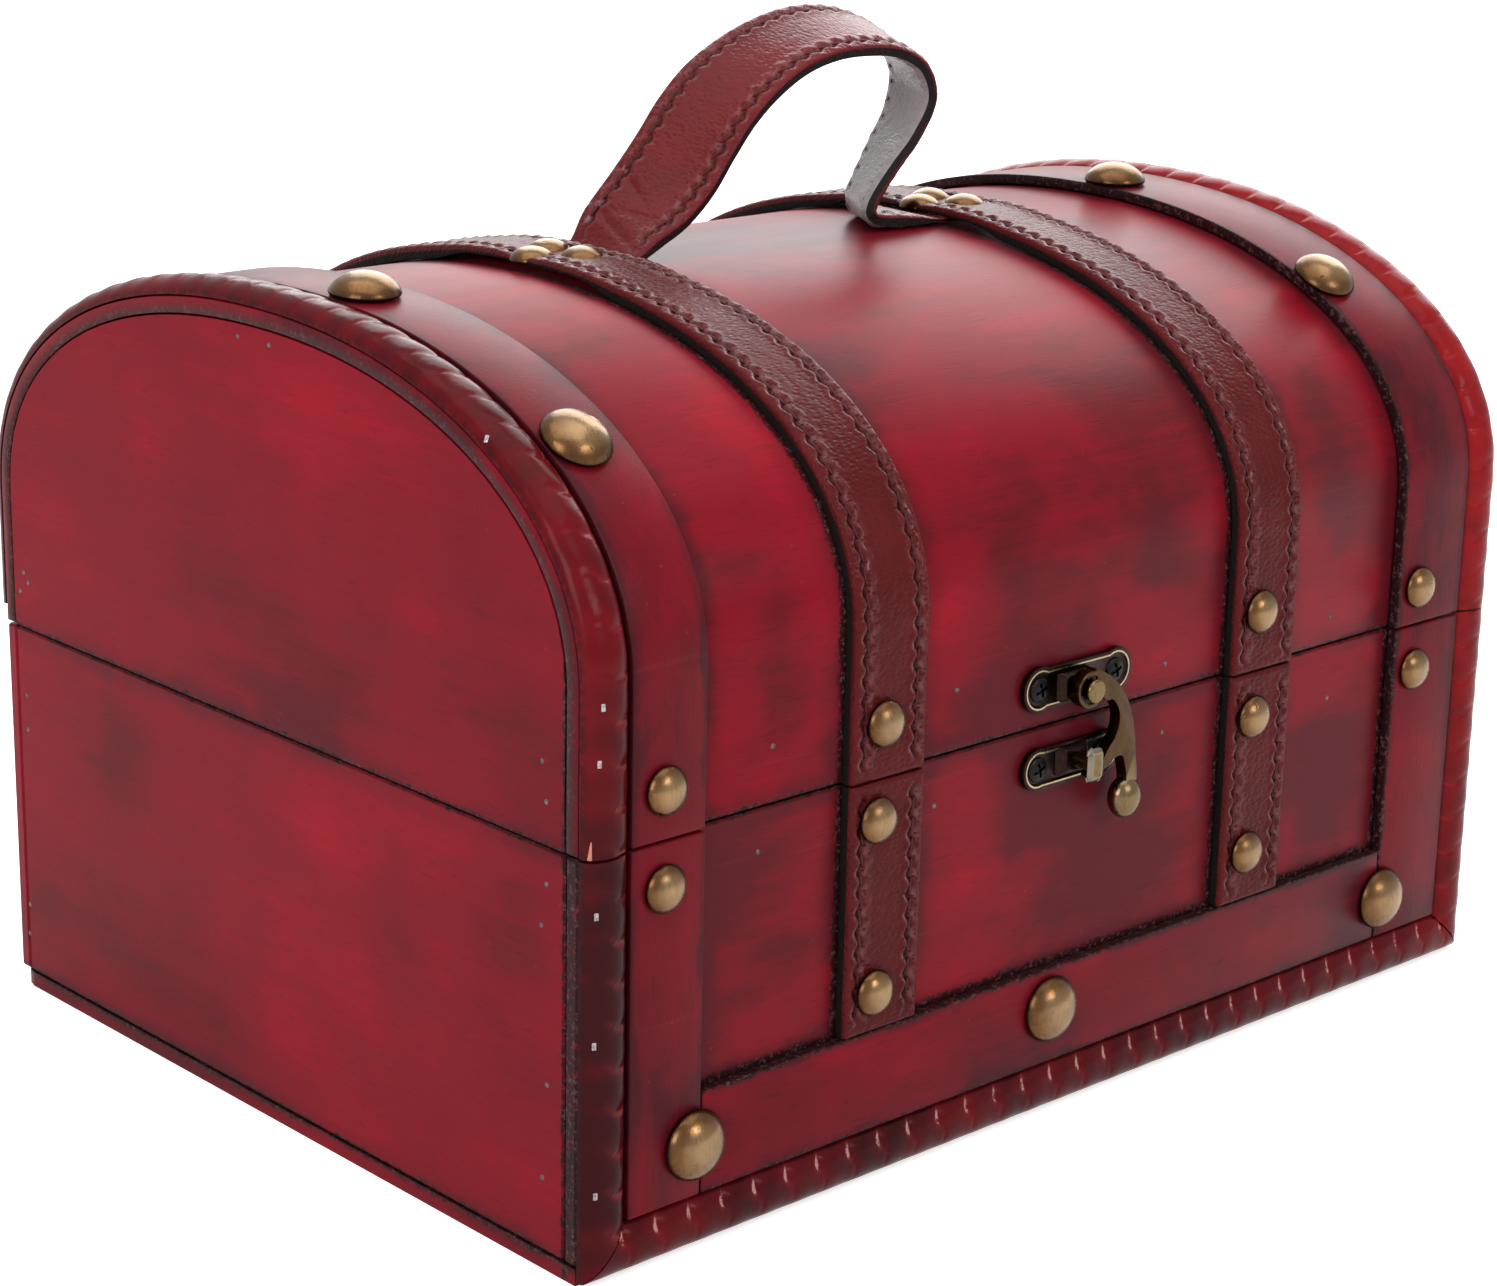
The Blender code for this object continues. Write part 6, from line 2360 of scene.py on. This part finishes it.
@dataclass
class Brads:
    """Small nails that hold the boards and rails, staples in the left mouldings and a chip of bare wood.

    Places are in millimetres: x and z on the front, y and z on the ends. A staple also has its turn and
    its tilt in degrees, and a splinter its shift, its lift and its turn.
    """

    radius: float = 0.50 * MM
    sunk: float = 0.08 * MM
    chip: Place = (-111.0 * MM, -83.3 * MM, 72.3 * MM)
    shards: tuple[Place, ...] = ((-0.3, 0.2, 0.10), (0.4, 0.5, -0.12), (1.0, 0.1, 0.22), (1.5, 0.6, -0.05))
    staples_base: tuple[tuple[float, ...], ...] = (
        (-110.5, -84.0, 61.8, -23.0, 0.0), (-110.7, -83.9, 40.8, -27.0, 0.0), (-110.4, -84.1, 15.8, -23.0, 0.0),
    )
    staples_lid: tuple[tuple[float, ...], ...] = (
        (-110.2, -84.1, 85.9, -23.0, 0.0), (-109.8, -84.4, 94.7, -17.0, 0.0), (-111.4, -58.9, 130.8, -62.0, -35.0),
    )
    front_base: tuple[Pair, ...] = ((21.4, 63.0), (-35.6, 62.0), (67.7, 60.1), (-75.1, 63.2))
    front_lid: tuple[Pair, ...] = ((21.1, 75.5), (-31.2, 81.1), (66.9, 75.8), (-72.4, 80.1))
    end_base: tuple[Pair, ...] = (
        (-74.0, 64.5), (-72.8, 57.6), (-74.3, 31.6), (-73.2, 15.6), (75.4, 57.7), (75.6, 51.1), (77.5, 16.3),
        (78.0, 10.4),
    )
    end_lid: tuple[Pair, ...] = (
        (-72.9, 83.9), (-73.9, 77.7), (75.0, 81.1), (73.5, 79.5), (76.3, 77.4), (4.9, 136.0), (-3.7, 136.0),
    )

    def splinters(self) -> Piece:
        """Make the shards of bare wood where the lid's left bead is chipped.

        Returns:
            The shards, in one mesh.
        """
        Bench.clear()
        bpy.ops.mesh.primitive_cone_add(vertices=5, radius1=0.42 * MM, radius2=0.10 * MM, depth=3.2 * MM)
        pattern = Bench.named("shard")
        Bench.soften(pattern, 0.08 * MM, 1)
        places = [
            Matrix.Translation(Vector(self.chip) + Vector((shift, shift * 0.45, lift)) * MM)
            @ Matrix.Rotation(turn, 4, "Y") for shift, lift, turn in self.shards
        ]
        piece = Bench.scatter("splinters", pattern, places)
        Bench.put_away(pattern)
        return piece

    def build(self) -> None:
        """Set the splinters, the staples in the left mouldings, and the brads on the front and on both ends."""
        settle(self.splinters(), Body.LID, BARE_WOOD)
        staple = Bench.block("staple", (-0.36 * MM, -0.12 * MM, -0.62 * MM), (0.36 * MM, 0.30 * MM, 0.62 * MM))
        Bench.soften(staple, 0.12 * MM, 2)
        for body, staples in ((Body.BASE, self.staples_base), (Body.LID, self.staples_lid)):
            places = []
            for x, y, z, turn, tilt in staples:
                way = Matrix.Rotation(math.radians(turn), 4, "Z") @ Matrix.Rotation(math.radians(tilt), 4, "X")
                places.append(Matrix.Translation((x * MM, y * MM, z * MM)) @ way)
            settle(Bench.scatter("staples_" + body.value, staple, places), body, STAPLE_STEEL)
        Bench.put_away(staple)
        brad = Bench.rod("brad", self.radius, 0.3 * MM, points=12)
        Bench.soften(brad, 0.1 * MM, 1)
        on_face = Matrix.Rotation(QUARTER, 4, "X")
        for body, front, ends in (
            (Body.BASE, self.front_base, self.end_base), (Body.LID, self.front_lid, self.end_lid),
        ):
            places = [Matrix.Translation(on_front(x * MM, z * MM, -self.sunk)) @ on_face for x, z in front]
            for _, side in SIDES:
                turn = Matrix.Rotation(side * QUARTER, 4, "Y")
                x = side * (SIZES.half_width - self.sunk)
                places += [Matrix.Translation((x, y * MM, z * MM)) @ turn for y, z in ends]
            settle(Bench.scatter("brads_" + body.value, brad, places), body, BRAD_STEEL)
        Bench.put_away(brad)


@dataclass
class Studio:
    """The camera, the floor and the lamps."""

    camera_place: Place = (-0.42115, -0.45105, 0.24909)
    camera_turn: Place = (73.3215, -1.1373, -42.5163)
    lens: float = 82.447
    ambient: float = 0.42
    floor_glow: float = 0.62
    looked_at: Place = (0.0, 0.0, 0.07)
    lamps: tuple[tuple[str, Place, Pair, float], ...] = (
        ("top_box", (-0.10, -0.10, 0.95), (1.1, 0.8), 5.0),
        ("left_box", (-0.95, -0.35, 0.50), (0.45, 0.55), 5.0),
        ("front_box", (0.10, -1.15, 0.68), (0.45, 0.40), 4.5),
        ("back_box", (1.04, 0.73, 0.89), (1.6, 1.2), 20.0),
    )

    def camera(self) -> None:
        """Stand the camera where the photograph was taken."""
        data = bpy.data.cameras.new("camera")
        data.lens = self.lens
        data.sensor_width = 36.0
        data.clip_start = 0.01
        data.clip_end = 50.0
        camera = Bench.link("camera", data)
        camera.location = self.camera_place
        camera.rotation_euler = Euler([math.radians(turn) for turn in self.camera_turn], "XYZ")
        bpy.context.scene.camera = camera

    def lamp(self, name: str, place: Place, size: Pair, watts: float) -> None:
        """Hang a soft box that looks at the middle of the box.

        Args:
            name: The lamp's name.
            place: Where it hangs.
            size: Its width and height.
            watts: Its power.
        """
        data = bpy.data.lights.new(name, "AREA")
        data.shape = "RECTANGLE"
        data.size, data.size_y = size
        data.energy = watts
        lamp = Bench.link(name, data)
        lamp.location = place
        lamp.rotation_euler = (Vector(self.looked_at) - Vector(place)).to_track_quat("-Z", "Y").to_euler()
        lamp.visible_camera = False

    def seen(self, paint: Paint) -> Socket:
        """Return one for the rays that show the background.

        Args:
            paint: The tree.

        Returns:
            One for camera, mirror and glass rays.
        """
        light = paint.node("ShaderNodeLightPath").outputs
        return paint.chain("MAXIMUM", [light["Is " + kind + " Ray"] for kind in ("Camera", "Glossy", "Transmission")])

    def world(self) -> None:
        """Light the room evenly, with a white background."""
        world = bpy.context.scene.world or bpy.data.worlds.new("room")
        bpy.context.scene.world = world
        world.use_nodes = True
        world.node_tree.nodes.clear()
        paint = Paint(world.node_tree)
        strength = paint.rescale(self.seen(paint), 0.0, 1.0, self.ambient, 1.0)
        light = paint.feed_all(paint.node("ShaderNodeBackground"), Color=(1.0, 1.0, 1.0), Strength=strength)
        paint.feed(paint.node("ShaderNodeOutputWorld").inputs["Surface"], light)

    def floor(self) -> None:
        """Lay a plain pale floor."""
        Bench.clear()
        bpy.ops.mesh.primitive_plane_add(size=14.0, location=(0.0, 0.0, -0.1 * MM))
        piece = Bench.named("floor")
        material = bpy.data.materials.new("pale floor")
        material.use_nodes = True
        paint = Paint(material.node_tree)
        paint.feed_all(
            material.node_tree.nodes["Principled BSDF"], Base_Color=(0.86, 0.86, 0.86), Roughness=0.9,
            Specular_IOR_Level=0.0, Emission_Color=(1.0, 1.0, 1.0),
            Emission_Strength=paint.times(self.seen(paint), self.floor_glow),
        )
        piece.data.materials.append(material)

    def build(self) -> None:
        """Set up the studio."""
        bpy.context.scene.view_settings.view_transform = "Standard"
        self.camera()
        self.world()
        self.floor()
        for lamp in self.lamps:
            self.lamp(*lamp)


def main() -> None:
    """Build the whole box in order."""
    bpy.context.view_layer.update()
    Studio().build()
    Carcass().build()
    Beads().build()
    Bands().build()
    straps = Straps()
    straps.build()
    Handle().build()
    Nails().build(straps)
    clasp = Clasp()
    clasp.build()
    Hinges().build(clasp)
    Brads().build()


if __name__ == "__main__":
    main()
